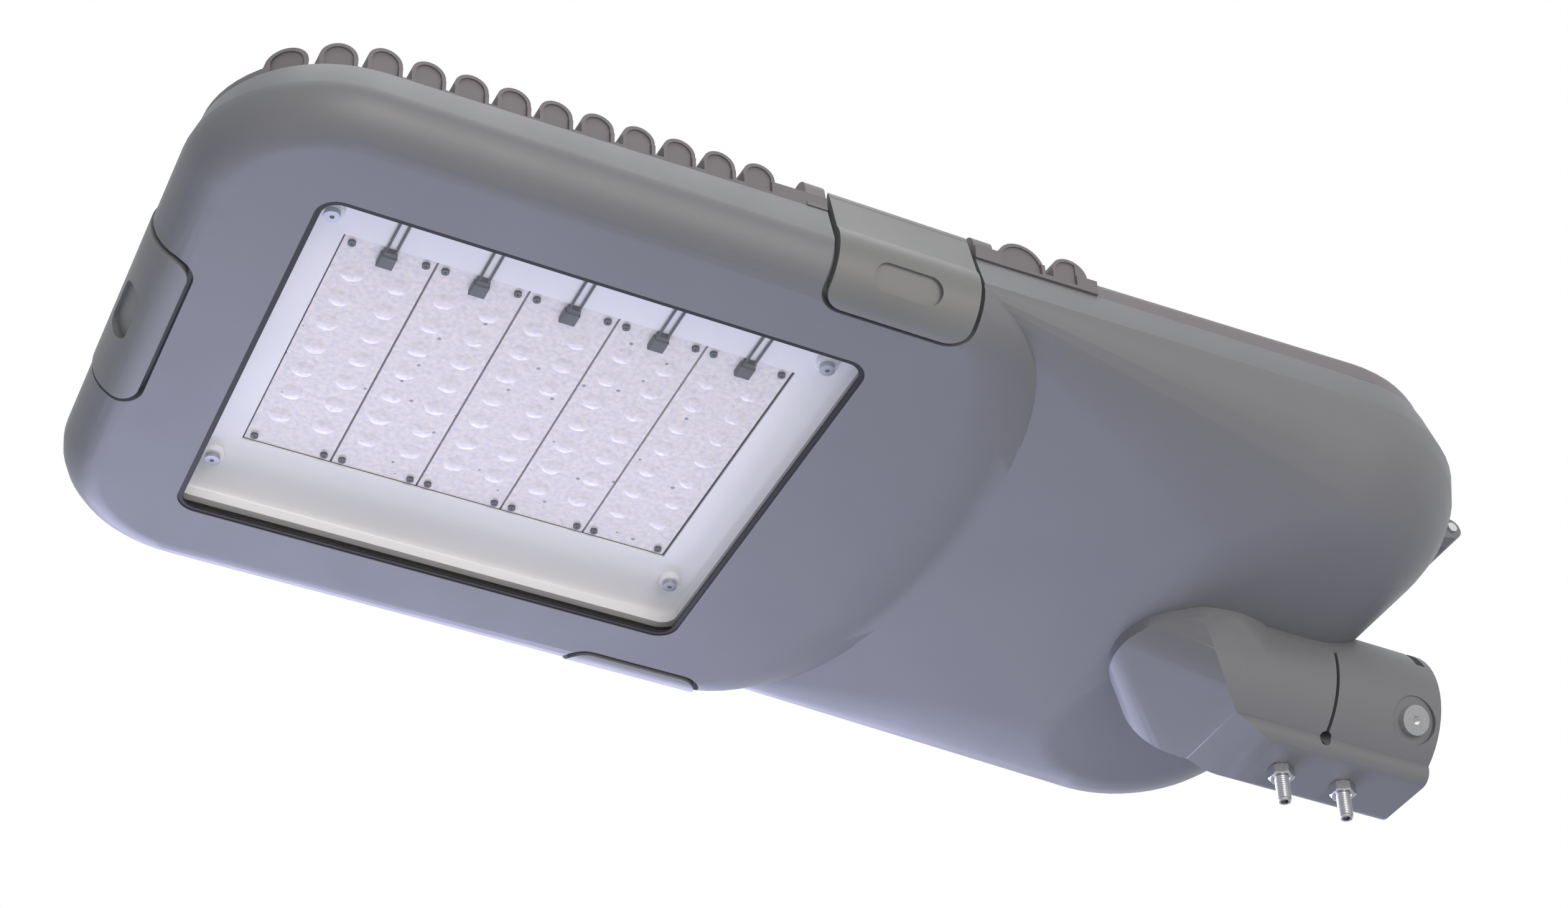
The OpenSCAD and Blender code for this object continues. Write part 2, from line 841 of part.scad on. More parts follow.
module cover_gasket() color("#1a1a1c") housed() tilted() {
    translate([0, 0, seal_z]) linear_extrude(cover_z - seal_z) difference() {
        plan(seal_in);
        plan(seal_in + seal_w);
    }
}

module glass_pane() color("#dfe6ea", 0.4) housed() {
    translate([win_x, 0, glass_z]) round_plate(pane_l, pane_w, win_r, glass_t);
}

// Gasket under and round the pane, with a lip that lines the opening
module glass_gasket() color("#151517") housed() {
    translate([win_x, 0, 0]) {
        difference() {
            union() {
                translate([0, 0, lip_w / 4]) round_plate(win_l, win_w, win_r, wall + eps - lip_w / 4);
                translate([0, 0, wall])
                    round_plate(pane_l + 2 * lip_w, pane_w + 2 * lip_w, win_r, glass_top - wall);
            }
            translate([0, 0, -1])
                round_plate(win_l - 2 * lip_w, win_w - 2 * lip_w, win_r - lip_w, 2 * wall);
            translate([0, 0, glass_z]) round_plate(pane_l, pane_w, win_r, glass_t + 1);
        }
    }
}

// Sheet clips that hold the pane down on its gasket
module glass_clips() color("#c9ccd0") housed() {
    reach = clip_out + clip_lap;
    at_clips() difference() {
        translate([-reach, -clip_w / 2, glass_top]) cube([reach + clip_boss_r, clip_w, clip_t]);
        translate([0, 0, glass_top - 1]) cylinder(h = 2 * clip_t + 1, r = screw_d / 2 + fit);
    }
}

// Pan head screw, head upwards, seat at z = 0
module screw(d, l, head_d = screw_head_d, head_h = screw_head_h) {
    difference() {
        cylinder(h = head_h, r = head_d / 2);
        translate([0, 0, head_h - head_h / 2]) cylinder(h = head_h, r = d / 3, $fn = 6);
    }
    translate([0, 0, -l]) cylinder(h = l + eps, r = d / 2);
}

module clip_screws() color("#c9ccd0") housed() {
    at_clips() translate([0, 0, glass_top + clip_t]) screw(screw_d, glass_top - wall - 2);
}

// White hopper round the modules: sloping bands and a skirt down to the glass
module reflector_frame() color("#eef1f6") housed() {
    skirt_z = glass_top + reflector_gap;
    top_z = lens_face;
    base_z = top_z - reflector_fall;
    in_l = tray_l + 1;
    in_w = module_l + 1;
    translate([win_x, 0, 0]) difference() {
        union() {
            difference() {
                hopper(base_z, in_l, in_w);
                hopper(base_z - sheet_t, in_l, in_w);
                translate([0, 0, base_z - sheet_t]) linear_extrude(2 * reflector_fall)
                    square([in_l, in_w], center = true);
            }
            translate([0, 0, skirt_z]) linear_extrude(base_z - skirt_z) difference() {
                square([refl_l, refl_w], center = true);
                square([refl_l - 2 * sheet_t, refl_w - 2 * sheet_t], center = true);
            }
            for (sx = [-1, 1], sy = [-1, 1]) translate([sx * post_x, sy * post_y, base_z])
                cylinder(h = post_foot - base_z, r = post_r);
        }
        for (sx = [-1, 1], sy = [-1, 1]) translate([sx * post_x, sy * post_y, 0])
            cylinder(h = rim_h, r = screw_d / 2 + fit);
    }
}

module hopper(z, in_l, in_w) {
    translate([0, 0, z]) intersection() {
        rotate([90, 0, 0]) linear_extrude(2 * refl_w, center = true) funnel(refl_l, in_l);
        rotate([90, 0, 90]) linear_extrude(2 * refl_l, center = true) funnel(refl_w, in_w);
    }
}

module funnel(base, top) {
    polygon([[-base / 2, 0], [base / 2, 0], [top / 2, reflector_fall], [-top / 2, reflector_fall]]);
}

module reflector_screws() color("#9a9da2") housed() {
    at_posts() translate([0, 0, lens_face - reflector_fall]) rotate([180, 0, 0])
        screw(screw_d, post_foot - lens_face + reflector_fall + pilot_l - 2);
}

module led_board(i) color("#d9dde3") housed() at_module(i) {
    difference() {
        translate([0, 0, pad_h - board_t / 2]) cube([module_w, module_l, board_t], center = true);
        at_one_modules_screws() translate([0, 0, pad_h - 2 * board_t])
            cylinder(h = 3 * board_t, r = module_screw_d / 2 + fit);
    }
}

module led_board_1() led_board(1);
module led_board_2() led_board(2);
module led_board_3() led_board(3);
module led_board_4() led_board(4);
module led_board_5() led_board(5);

// Lens plate with a dome over each LED
module led_lens(i) color("#e9e8f0") housed() at_module(i) {
    px = module_w / lens_cols;
    py = (module_l - 2 * lens_end) / lens_rows;
    difference() {
        union() {
            translate([0, 0, lens_face + lens_t / 2])
                cube([module_w, module_l, lens_t], center = true);
            for (cx = [0 : lens_cols - 1], cy = [0 : lens_rows - 1])
                translate([(cx - (lens_cols - 1) / 2) * px, (cy - (lens_rows - 1) / 2) * py,
                    lens_face + lens_r - lens_proud]) sphere(r = lens_r, $fn = 24);
        }
        at_one_modules_screws() translate([0, 0, lens_face - 1])
            cylinder(h = lens_t + 2, r = module_screw_d / 2 + fit);
        translate([-module_w, -module_l, lens_face + lens_t]) cube([2 * module_w, 2 * module_l, lens_r]);
    }
}

module led_lens_1() led_lens(1);
module led_lens_2() led_lens(2);
module led_lens_3() led_lens(3);
module led_lens_4() led_lens(4);
module led_lens_5() led_lens(5);

module module_screws() color("#55585c") housed() {
    at_module_screws() translate([0, 0, lens_face]) rotate([180, 0, 0])
        screw(module_screw_d, lens_t + board_t + pad_t - 2, module_screw_head, module_screw_d / 2);
}

module at_connector(i) {
    at_module(i) translate([0, -(module_l / 2 - conn_l / 2 - 1), lens_face]) children();
}

module led_connectors() color("#3a3c40") housed() {
    for (i = [1 : module_n]) at_connector(i)
        translate([0, 0, -conn_h / 2]) cube([conn_w, conn_l, conn_h], center = true);
}

// Wire pairs from the connectors down the reflector band and out through its skirt
module led_leads() color("#3c3e42") housed() {
    run = refl_w / 2 - module_l / 2;
    slope = atan(reflector_fall / (run - 0.5));
    for (i = [1 : module_n], s = [-1, 1]) at_module(i)
        translate([s * conn_w / 3, -(module_l / 2 - 1) - fit, lens_face - sheet_t - lead_d / 2 - fit])
            rotate([90 + slope, 0, 0]) cylinder(h = run - 2 * sheet_t, r = lead_d / 2);
}

module nose_latch() color("#72767e") housed() at_nose() latch(nose_latch_w, nose_pivot_h);
module left_latch() color("#7d7e80") housed() at_left() latch(side_latch_w, side_pivot_h);
module right_latch() color("#7d7e80") housed() at_right() latch(side_latch_w, side_pivot_h);

module latch_pin(w, h) {
    translate([0, pivot_u(h), h]) rotate([0, 90, 0])
        cylinder(h = w + 2 * latch_gap + 2 * ear_w, r = pin_r, center = true);
}

module latch_pins() color("#c9ccd0") housed() {
    at_nose() latch_pin(nose_latch_w, nose_pivot_h);
    at_left() latch_pin(side_latch_w, side_pivot_h);
    at_right() latch_pin(side_latch_w, side_pivot_h);
}

module hinge_pins() color("#d5d7da") housed() {
    l = hinge_mid_w + 2 * hinge_lug_w + 4;
    for (s = [-1, 1]) translate([rear_d + hinge_back, s * hinge_y, hinge_z]) rotate([90, 0, 0])
        cylinder(h = l, r = hinge_pin_d / 2, center = true);
}

// Sheet tray that carries the gear above the socket's root
module gear_tray() color("#b9bdc2") housed() {
    difference() {
        translate([tray_x, 0, tray_h]) round_plate(tray_pl, tray_pw, 8, tray_t);
        at_tray_posts() translate([0, 0, tray_h - 1]) cylinder(h = tray_t + 2, r = screw_d / 2 + fit);
        at_driver_ears() translate([0, 0, tray_h - 1]) cylinder(h = tray_t + 2, r = screw_d / 2);
    }
}

module at_driver_ears() {
    for (s = [-1, 1]) translate([driver_x, s * (driver_l / 2 - 5), 0]) children();
}

module led_driver() color("#d0d2d4") housed() {
    difference() {
        union() {
            translate([driver_x, 0, tray_h + tray_t + driver_h / 2])
                cube([driver_w, driver_l - 20, driver_h], center = true);
            translate([driver_x, 0, tray_h + tray_t + 1.5])
                cube([driver_w / 2, driver_l, 3], center = true);
        }
        at_driver_ears() translate([0, 0, tray_h]) cylinder(h = 10, r = screw_d / 2 + fit);
    }
}

module surge_protector() color("#e6e4de") housed() {
    translate([gear_x, surge_y, tray_h + tray_t]) {
        translate([0, 0, surge_h / 2]) cube([surge_w, surge_l, surge_h], center = true);
        translate([0, 0, surge_h]) cylinder(h = 3, r = surge_w / 4);
    }
}

module terminal_block() color("#f1f0ea") housed() {
    translate([gear_x, -surge_y, tray_h + tray_t]) difference() {
        translate([0, 0, term_h / 2]) cube([term_w, term_l, term_h], center = true);
        for (k = [-1, 0, 1]) translate([0, k * term_l / 3.4, term_h / 2])
            cylinder(h = term_h, r = term_w / 6);
    }
}

module gear_screws() color("#c9ccd0") housed() {
    at_tray_posts() translate([0, 0, tray_h + tray_t]) screw(screw_d, tray_t + pilot_l - 2);
    at_driver_ears() translate([0, 0, tray_h + tray_t + 3]) screw(screw_d, tray_t + 6);
}

// Cable gland in the wall between the bore and the gear compartment
module cable_gland() color("#2a2b2d") {
    face = -(socket_depth + root_t);
    difference() {
        union() {
            tube_x(entry_r - pin_play, face - 1, face + root_t);
            translate([face - 7, 0, 0]) rotate([0, 90, 0]) cylinder(h = 7, r = entry_r + 4, $fn = 6);
            tube_x(entry_r + 1, face - 19, face - 6);
        }
        tube_x(entry_r / 2, face - 20, face + root_t + 1);
    }
}

module at_bolts() {
    for (i = [0, 1]) translate([-(bolt_x + i * bolt_pitch), 0, 0]) children();
}

module clamp_bolts() color("#d5d7da") {
    head_h = bolt_d * 0.66;
    at_bolts() {
        translate([0, 0, -boss_drop - bolt_out])
            cylinder(h = boss_drop + bolt_out - socket_bore / 2 - 0.5, r = bolt_d / 2);
        translate([0, 0, -boss_drop - bolt_out - head_h])
            cylinder(h = head_h, r = bolt_d * 0.94, $fn = 6);
    }
}

module clamp_nuts() color("#d5d7da") {
    nut_h = bolt_d * 0.8;
    at_bolts() translate([0, 0, -boss_drop - nut_h]) difference() {
        cylinder(h = nut_h, r = bolt_d * 0.94, $fn = 6);
        translate([0, 0, -1]) cylinder(h = nut_h + 2, r = bolt_d / 2 + pin_play);
    }
}

module lock_screw() color("#dfe1e4") lock_place() {
    translate([0, 0, socket_bore / 2 + 0.5])
        cylinder(h = lock_seat - socket_bore / 2, r = lock_d / 2);
    translate([0, 0, lock_seat]) difference() {
        cylinder(h = lock_head_h, r = lock_head_r);
        translate([0, 0, lock_head_h / 2]) cylinder(h = lock_head_h, r = lock_d / 3, $fn = 6);
    }
}

lower_body();
top_cover();
cover_gasket();
glass_pane();
glass_gasket();
glass_clips();
clip_screws();
reflector_frame();
reflector_screws();
led_board_1();
led_board_2();
led_board_3();
led_board_4();
led_board_5();
led_lens_1();
led_lens_2();
led_lens_3();
led_lens_4();
led_lens_5();
module_screws();
led_connectors();
led_leads();
nose_latch();
left_latch();
right_latch();
latch_pins();
hinge_pins();
gear_tray();
led_driver();
surge_protector();
terminal_block();
gear_screws();
cable_gland();
clamp_bolts();
clamp_nuts();
lock_screw();
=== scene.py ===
"""Street lantern head seen from below.

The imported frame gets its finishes, finer castings and fasteners, and a studio round it.
Sizes are in millimetres from the nose and the housing's underside where nothing else is said.
"""

import json
import logging
import math
from dataclasses import dataclass
from enum import Enum
from typing import Any

import bmesh
import bpy
from mathutils import Matrix, Vector

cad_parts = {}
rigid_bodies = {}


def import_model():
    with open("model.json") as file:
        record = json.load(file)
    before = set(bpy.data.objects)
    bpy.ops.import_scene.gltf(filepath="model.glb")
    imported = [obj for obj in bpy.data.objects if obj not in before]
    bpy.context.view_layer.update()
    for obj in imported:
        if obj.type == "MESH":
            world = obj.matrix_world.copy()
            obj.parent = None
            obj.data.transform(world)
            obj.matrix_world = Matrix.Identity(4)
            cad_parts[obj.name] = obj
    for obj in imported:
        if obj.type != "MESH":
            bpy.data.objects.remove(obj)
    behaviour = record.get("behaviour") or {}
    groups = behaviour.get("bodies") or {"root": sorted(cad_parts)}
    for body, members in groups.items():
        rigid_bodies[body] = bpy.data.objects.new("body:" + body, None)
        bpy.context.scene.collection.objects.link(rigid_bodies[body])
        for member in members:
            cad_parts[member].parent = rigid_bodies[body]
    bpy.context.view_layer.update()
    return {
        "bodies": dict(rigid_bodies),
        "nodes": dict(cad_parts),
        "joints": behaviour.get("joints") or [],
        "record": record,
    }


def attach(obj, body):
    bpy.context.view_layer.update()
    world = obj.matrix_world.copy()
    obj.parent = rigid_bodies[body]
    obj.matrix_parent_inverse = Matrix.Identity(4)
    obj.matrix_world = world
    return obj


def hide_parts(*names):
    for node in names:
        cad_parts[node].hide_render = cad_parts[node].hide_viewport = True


LOG = logging.getLogger("street_lantern")
MM = 0.001
# The housing's frame: nose to socket mouth, socket axis to underside, and the window's middle
NOSE_X = 744.0
UNDERSIDE_Z = 28.0
WINDOW_X = 207.0
# Rim and cover rise towards the pole by this angle, about this distance from the nose
RIM_DEG = 1.8
RIM_X = 344.0
# The five modules stand side by side along the lantern
MODULES = 5
MODULE_PITCH = 48.0
# Edges sharper than this stay sharp on pieces that are made here
SHARP_DEG = 33.0
# Sockets of the Mix node when it mixes colours
FACTOR, FIRST, SECOND, RESULT = 0, 6, 7, 2

Frame = dict[str, Any]
Mesh = bmesh.types.BMesh
Material = bpy.types.Material
Socket = bpy.types.NodeSocket
Tree = bpy.types.NodeTree
Point = tuple[float, float, float]
Pair = tuple[float, float]


class Shade(Enum):
    """Colours of the lantern's finishes, as sRGB hex values."""

    HOUSING = "75787F"
    COVER = "716E74"
    LATCH = "777A7D"
    BLACK_RUBBER = "19191B"
    CLEAR_GLASS = "E9F0F4"
    STAINLESS = "D2D3D5"
    BLACKENED = "4A4C50"
    WHITE_ENAMEL = "F5F6FC"
    SOLDER_RESIST = "DDE0E8"
    LENS_COOL = "E4E4EC"
    LENS_WARM = "FBF3F2"
    LENS_SPECK = "8E8C92"
    DARK_ABS = "3A3C42"
    ZINC = "AEB2B8"
    ALUMINIUM = "C6C8CA"
    OFF_WHITE = "DBD8CF"
    POLYAMIDE = "262729"
    FLOOR = "EDEDED"


def linear(hex_value: str) -> tuple[float, float, float, float]:
    """Turn an sRGB hex value into linear colour.

    Args:
        hex_value: six hex digits, red first.

    Returns:
        Red, green, blue and an alpha of 1, in linear light.
    """
    parts = [int(hex_value[i : i + 2], 16) / 255 for i in (0, 2, 4)]
    rgb = [c / 12.92 if c <= 0.04045 else ((c + 0.055) / 1.055) ** 2.4 for c in parts]
    return (rgb[0], rgb[1], rgb[2], 1.0)


def scaled(hex_value: str, factor: float) -> tuple[float, float, float, float]:
    """Return the linear colour of a hex value, times a brightness factor and cut at 1."""
    rgb = [min(1.0, c * factor) for c in linear(hex_value)[:3]]
    return (rgb[0], rgb[1], rgb[2], 1.0)


def pattern(place: Socket, size_mm: float, **more: float) -> dict[str, Any]:
    """Return a texture's values for a pattern of a real size at these coordinates."""
    return {"Vector": place, "Scale": 1.0 / (size_mm * MM), **more}


def relief(height: Socket, depth_mm: float, strength: float) -> dict[str, Any]:
    """Return a bump's values for a grey pattern of this depth, of which a share shows."""
    return {"Height": height, "Strength": strength, "Distance": depth_mm * MM}


def node(
    tree: Tree,
    kind: str,
    settings: dict[str, Any] | None = None,
    sockets: dict[Any, Any] | None = None,
) -> bpy.types.Node:
    """Add one shader node with its settings, values and links.

    Args:
        tree: the node tree to add to.
        kind: the node's Blender type name.
        settings: attributes of the node.
        sockets: input name or number to a value, or to an output socket to link from.

    Returns:
        The new node.
    """
    made = tree.nodes.new(kind)
    for key, value in (settings or {}).items():
        setattr(made, key, value)
    for key, value in (sockets or {}).items():
        if isinstance(value, Socket):
            tree.links.new(value, made.inputs[key])
        else:
            made.inputs[key].default_value = value
    return made


@dataclass(frozen=True)
class Finish:
    """A finish with its name, base colour and the plain values of its shader."""

    name: str
    shade: Shade
    roughness: float = 0.5
    metallic: float = 0.0
    ior: float = 1.5
    coat: float = 0.0
    coat_roughness: float = 0.2
    alpha: float = 1.0
    patch_mm: float = 60.0
    patch_low: float = 0.94
    patch_high: float = 1.05

    def build(self) -> Material:
        """Make the material.

        Returns:
            The material, with colour and bump from the finish's own patterns.
        """
        made = bpy.data.materials.new(self.name)
        made.use_nodes = True
        tree = made.node_tree
        tree.nodes.clear()
        place = node(tree, "ShaderNodeTexCoord").outputs["Object"]
        plain = {
            "Roughness": self.roughness,
            "Metallic": self.metallic,
            "IOR": self.ior,
            "Coat Weight": self.coat,
            "Coat Roughness": self.coat_roughness,
            "Alpha": self.alpha,
        }
        shader = node(tree, "ShaderNodeBsdfPrincipled", sockets=plain)
        for name, source in self.dress(tree, place).items():
            tree.links.new(source, shader.inputs[name])
        node(tree, "ShaderNodeOutputMaterial", sockets={"Surface": shader.outputs["BSDF"]})
        return made

    def dress(self, tree: Tree, place: Socket) -> dict[str, Socket]:
        """Vary the base colour in soft patches.

        Args:
            tree: the material's node tree.
            place: the Object coordinates.

        Returns:
            The patterns, under the names of the shader's inputs.
        """
        sizes = pattern(place, self.patch_mm, Detail=3.0)
        patches = node(tree, "ShaderNodeTexNoise", sockets=sizes)
        colours = {
            FACTOR: patches.outputs["Fac"],
            FIRST: scaled(self.shade.value, self.patch_low),
            SECOND: scaled(self.shade.value, self.patch_high),
        }
        mix = node(tree, "ShaderNodeMix", {"data_type": "RGBA"}, colours)
        return {"Base Color": mix.outputs[RESULT]}

    def span(self, grey: Socket, smoother: float, rougher: float) -> dict[str, Any]:
        """Return a range's values that spread a grey pattern round this finish's roughness."""
        ends = {"To Min": self.roughness - smoother, "To Max": self.roughness + rougher}
        return {"Value": grey, **ends}


@dataclass(frozen=True)
class PowderCoat(Finish):
    """Polyester powder coat on die-cast aluminium: satin, with a fine orange peel.

    The peel of the real coat is under a millimetre and too fine to show, so it is drawn at peel_mm.
    Dust dulls the gloss in soft patches of dust_mm.
    """

    peel_mm: float = 2.2
    peel_depth_mm: float = 0.4
    peel_strength: float = 0.05
    dust_mm: float = 35.0
    smoother: float = 0.06
    rougher: float = 0.08

    def dress(self, tree: Tree, place: Socket) -> dict[str, Socket]:
        """Add the peel and patchy gloss to the colour patches.

        Args:
            tree: the material's node tree.
            place: the Object coordinates.

        Returns:
            The patterns, under the names of the shader's inputs.
        """
        inputs = super().dress(tree, place)
        peel = node(tree, "ShaderNodeTexNoise", sockets=pattern(place, self.peel_mm, Detail=2.0))
        raised = relief(peel.outputs["Fac"], self.peel_depth_mm, self.peel_strength)
        inputs["Normal"] = node(tree, "ShaderNodeBump", sockets=raised).outputs["Normal"]
        dust = node(tree, "ShaderNodeTexNoise", sockets=pattern(place, self.dust_mm, Detail=4.0))
        gloss = self.span(dust.outputs["Fac"], self.smoother, self.rougher)
        inputs["Roughness"] = node(tree, "ShaderNodeMapRange", sockets=gloss).outputs["Result"]
        return inputs


@dataclass(frozen=True)
class Moulded(Finish):
    """Moulded plastic, rubber or enamel: even colour with a fine grain of grain_mm."""

    grain_mm: float = 1.2
    grain_depth_mm: float = 0.2
    grain_strength: float = 0.08

    def dress(self, tree: Tree, place: Socket) -> dict[str, Socket]:
        """Add the grain to faint patches.

        Args:
            tree: the material's node tree.
            place: the Object coordinates.

        Returns:
            The patterns, under the names of the shader's inputs.
        """
        inputs = super().dress(tree, place)
        grain = node(tree, "ShaderNodeTexNoise", sockets=pattern(place, self.grain_mm, Detail=1.0))
        raised = relief(grain.outputs["Fac"], self.grain_depth_mm, self.grain_strength)
        inputs["Normal"] = node(tree, "ShaderNodeBump", sockets=raised).outputs["Normal"]
        return inputs


@dataclass(frozen=True)
class Brushed(Finish):
    """Brushed, rolled or turned metal: fine lines of line_mm, drawn out by stretch."""

    line_mm: float = 0.5
    stretch: Point = (1.0, 1.0, 0.06)
    smoother: float = 0.08
    rougher: float = 0.12

    def dress(self, tree: Tree, place: Socket) -> dict[str, Socket]:
        """Add lines in the gloss to faint patches.

        Args:
            tree: the material's node tree.
            place: the Object coordinates.

        Returns:
            The patterns, under the names of the shader's inputs.
        """
        inputs = super().dress(tree, place)
        drawn = node(tree, "ShaderNodeMapping", sockets={"Vector": place, "Scale": self.stretch})
        sockets = pattern(drawn.outputs["Vector"], self.line_mm, Detail=2.0)
        lines = node(tree, "ShaderNodeTexNoise", sockets=sockets).outputs["Fac"]
        gloss = self.span(lines, self.smoother, self.rougher)
        inputs["Roughness"] = node(tree, "ShaderNodeMapRange", sockets=gloss).outputs["Result"]
        return inputs


@dataclass(frozen=True)
class LensPlate(Finish):
    """Moulded acrylic lens plate: pale, in small prisms of prism_mm that look warm or cool, each
    darkened towards its edges by painted shade.

    The grey specks are chips and pins of the board that show through, one in a cell of speck_mm.
    """

    prism_mm: float = 2.2
    prism_depth_mm: float = 0.5
    prism_strength: float = 0.25
    # Colour share left at a prism's edge by the painted shade
    prism_painted_shade: float = 0.86
    tint_mm: float = 3.0
    cool_until: float = 0.35
    warm_from: float = 0.62
    speck_mm: float = 13.0
    speck_r: float = 0.085

    def dress(self, tree: Tree, place: Socket) -> dict[str, Socket]:
        """Add the small prisms that scatter the light: a bump, warm and cool tints in random
        patches, and painted shade that darkens each prism towards its edges.

        Args:
            tree: the material's node tree.
            place: the Object coordinates.

        Returns:
            The patterns, under the names of the shader's inputs.
        """
        prisms = pattern(place, self.prism_mm)
        cells = node(tree, "ShaderNodeTexVoronoi", {"feature": "SMOOTH_F1"}, prisms)
        tint = node(tree, "ShaderNodeTexNoise", sockets=pattern(place, self.tint_mm, Detail=2.0))
        ramp = node(tree, "ShaderNodeValToRGB", sockets={"Fac": tint.outputs["Fac"]})
        stops = ((self.cool_until, Shade.LENS_COOL), (self.warm_from, Shade.LENS_WARM))
        for stop, (position, shade) in zip(ramp.color_ramp.elements, stops):
            stop.position = position
            stop.color = linear(shade.value)
        # Painted shade: each prism's colour darkens from its middle towards its edges
        depth = cells.outputs["Distance"]
        sockets = {"Value": depth, "To Min": 1.0, "To Max": self.prism_painted_shade}
        darker = node(tree, "ShaderNodeMapRange", sockets=sockets).outputs["Result"]
        settings = {"data_type": "RGBA", "blend_type": "MULTIPLY"}
        colours = {FACTOR: 1.0, FIRST: ramp.outputs["Color"], SECOND: darker}
        tinted_with_painted_shade = node(tree, "ShaderNodeMix", settings, colours).outputs[RESULT]
        specks = pattern(place, self.speck_mm)
        spots = node(tree, "ShaderNodeTexVoronoi", {"feature": "F1"}, specks).outputs["Distance"]
        near = node(tree, "ShaderNodeMath", {"operation": "LESS_THAN"}, {0: spots, 1: self.speck_r})
        grey = linear(Shade.LENS_SPECK.value)
        colours = {FACTOR: near.outputs[0], FIRST: tinted_with_painted_shade, SECOND: grey}
        specked = node(tree, "ShaderNodeMix", {"data_type": "RGBA"}, colours).outputs[RESULT]
        raised = relief(depth, self.prism_depth_mm, self.prism_strength)
        normal = node(tree, "ShaderNodeBump", sockets=raised).outputs["Normal"]
        return {"Base Color": specked, "Normal": normal}


class Finishes:
    """All finishes of the lantern, built once."""

    def __init__(self) -> None:
        """Build every material."""
        # Satin coat on the pod and belly: bluish grey with a soft broad highlight
        self.housing = PowderCoat("powder_coat_bluish_grey", Shade.HOUSING, 0.46).build()
        # The cover is coated in a darker, warmer grey
        self.cover = PowderCoat("powder_coat_dark_grey", Shade.COVER, 0.5).build()
        # The latches are coated alone, in a neutral grey that is a little glossier
        self.latch = PowderCoat("powder_coat_latch_grey", Shade.LATCH, 0.44).build()
        # Silicone rubber: near black, dull
        self.rubber = Moulded("silicone_rubber_black", Shade.BLACK_RUBBER, 0.55, ior=1.42).build()
        # Clear float glass hardly shows: a thin clear film with its own gloss
        self.glass = Finish(
            "toughened_float_glass", Shade.CLEAR_GLASS, 0.03, ior=1.52, alpha=0.06
        ).build()
        # Turned and polished stainless steel: bright with hard glints
        self.stainless = Brushed("stainless_steel_turned", Shade.STAINLESS, 0.24, 1.0).build()
        # Blackened steel screws look like dark dots on the white modules
        self.blackened = Brushed("blackened_screw_steel", Shade.BLACKENED, 0.4, 1.0).build()
        # White enamelled sheet: bright, smooth and slightly glossy
        self.reflector = Moulded(
            "white_reflector_enamel", Shade.WHITE_ENAMEL, 0.22, coat=0.3, grain_strength=0.0
        ).build()
        # White solder resist on the boards: flat and pale
        self.board = Moulded("white_solder_resist", Shade.SOLDER_RESIST, 0.4).build()
        # Clear acrylic over white boards: reads as a pale sparkling plate
        self.lens = LensPlate(
            "moulded_acrylic_lens", Shade.LENS_WARM, 0.24, ior=1.49, coat=0.6
        ).build()
        # Dark ABS of connectors and lead covers: even and dull
        self.plastic = Moulded("moulded_abs_dark_grey", Shade.DARK_ABS, 0.5).build()
        # Zinc-plated sheet: cool grey metal with cloudy spangle of about a centimetre
        self.zinc = Brushed(
            "zinc_plated_sheet", Shade.ZINC, 0.36, 1.0, line_mm=9.0, stretch=(1.0, 1.0, 1.0)
        ).build()
        # Extruded aluminium case of the driver: bright metal with lines along its length
        self.driver = Brushed(
            "extruded_aluminium_case", Shade.ALUMINIUM, 0.34, 1.0, stretch=(1.0, 0.05, 1.0)
        ).build()
        # Off-white nylon of terminal blocks: creamy and dull
        self.off_white = Moulded("moulded_nylon_off_white", Shade.OFF_WHITE, 0.46).build()
        # Black polyamide of the cable gland: near black, half dull
        self.polyamide = Moulded("moulded_polyamide_black", Shade.POLYAMIDE, 0.5).build()


def new_object(name: str, bm: Mesh, material: Material) -> bpy.types.Object:
    """Turn a bmesh into an object at the origin with one material.

    Args:
        name: the object's name.
        bm: the mesh, which is freed.
        material: its finish.

    Returns:
        The object, linked to the scene.
    """
    mesh = bpy.data.meshes.new(name)
    bm.to_mesh(mesh)
    bm.free()
    mesh.materials.append(material)
    made = bpy.data.objects.new(name, mesh)
    bpy.context.scene.collection.objects.link(made)
    return made


def mark_smooth(bm: Mesh, sharp_deg: float) -> None:
    """Shade all faces smooth and keep the edges above an angle sharp.

    Args:
        bm: the mesh.
        sharp_deg: smallest angle of an edge that stays sharp.
    """
    for face in bm.faces:
        face.smooth = True
    for edge in bm.edges:
        joined = len(edge.link_faces) == 2
        edge.smooth = joined and edge.calc_face_angle(0.0) < math.radians(sharp_deg)


def stand_in(made: bpy.types.Object, node_name: str, body: str) -> None:
    """Let a finished piece stand for a CAD node.

    Args:
        made: the piece.
        node_name: the CAD node that it replaces.
        body: the body that it rides on.
    """
    weighted = made.modifiers.new("weighted", "WEIGHTED_NORMAL")
    weighted.keep_sharp = True
    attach(made, body)
    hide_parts(node_name)
    LOG.info("%s stands for %s", made.name, node_name)


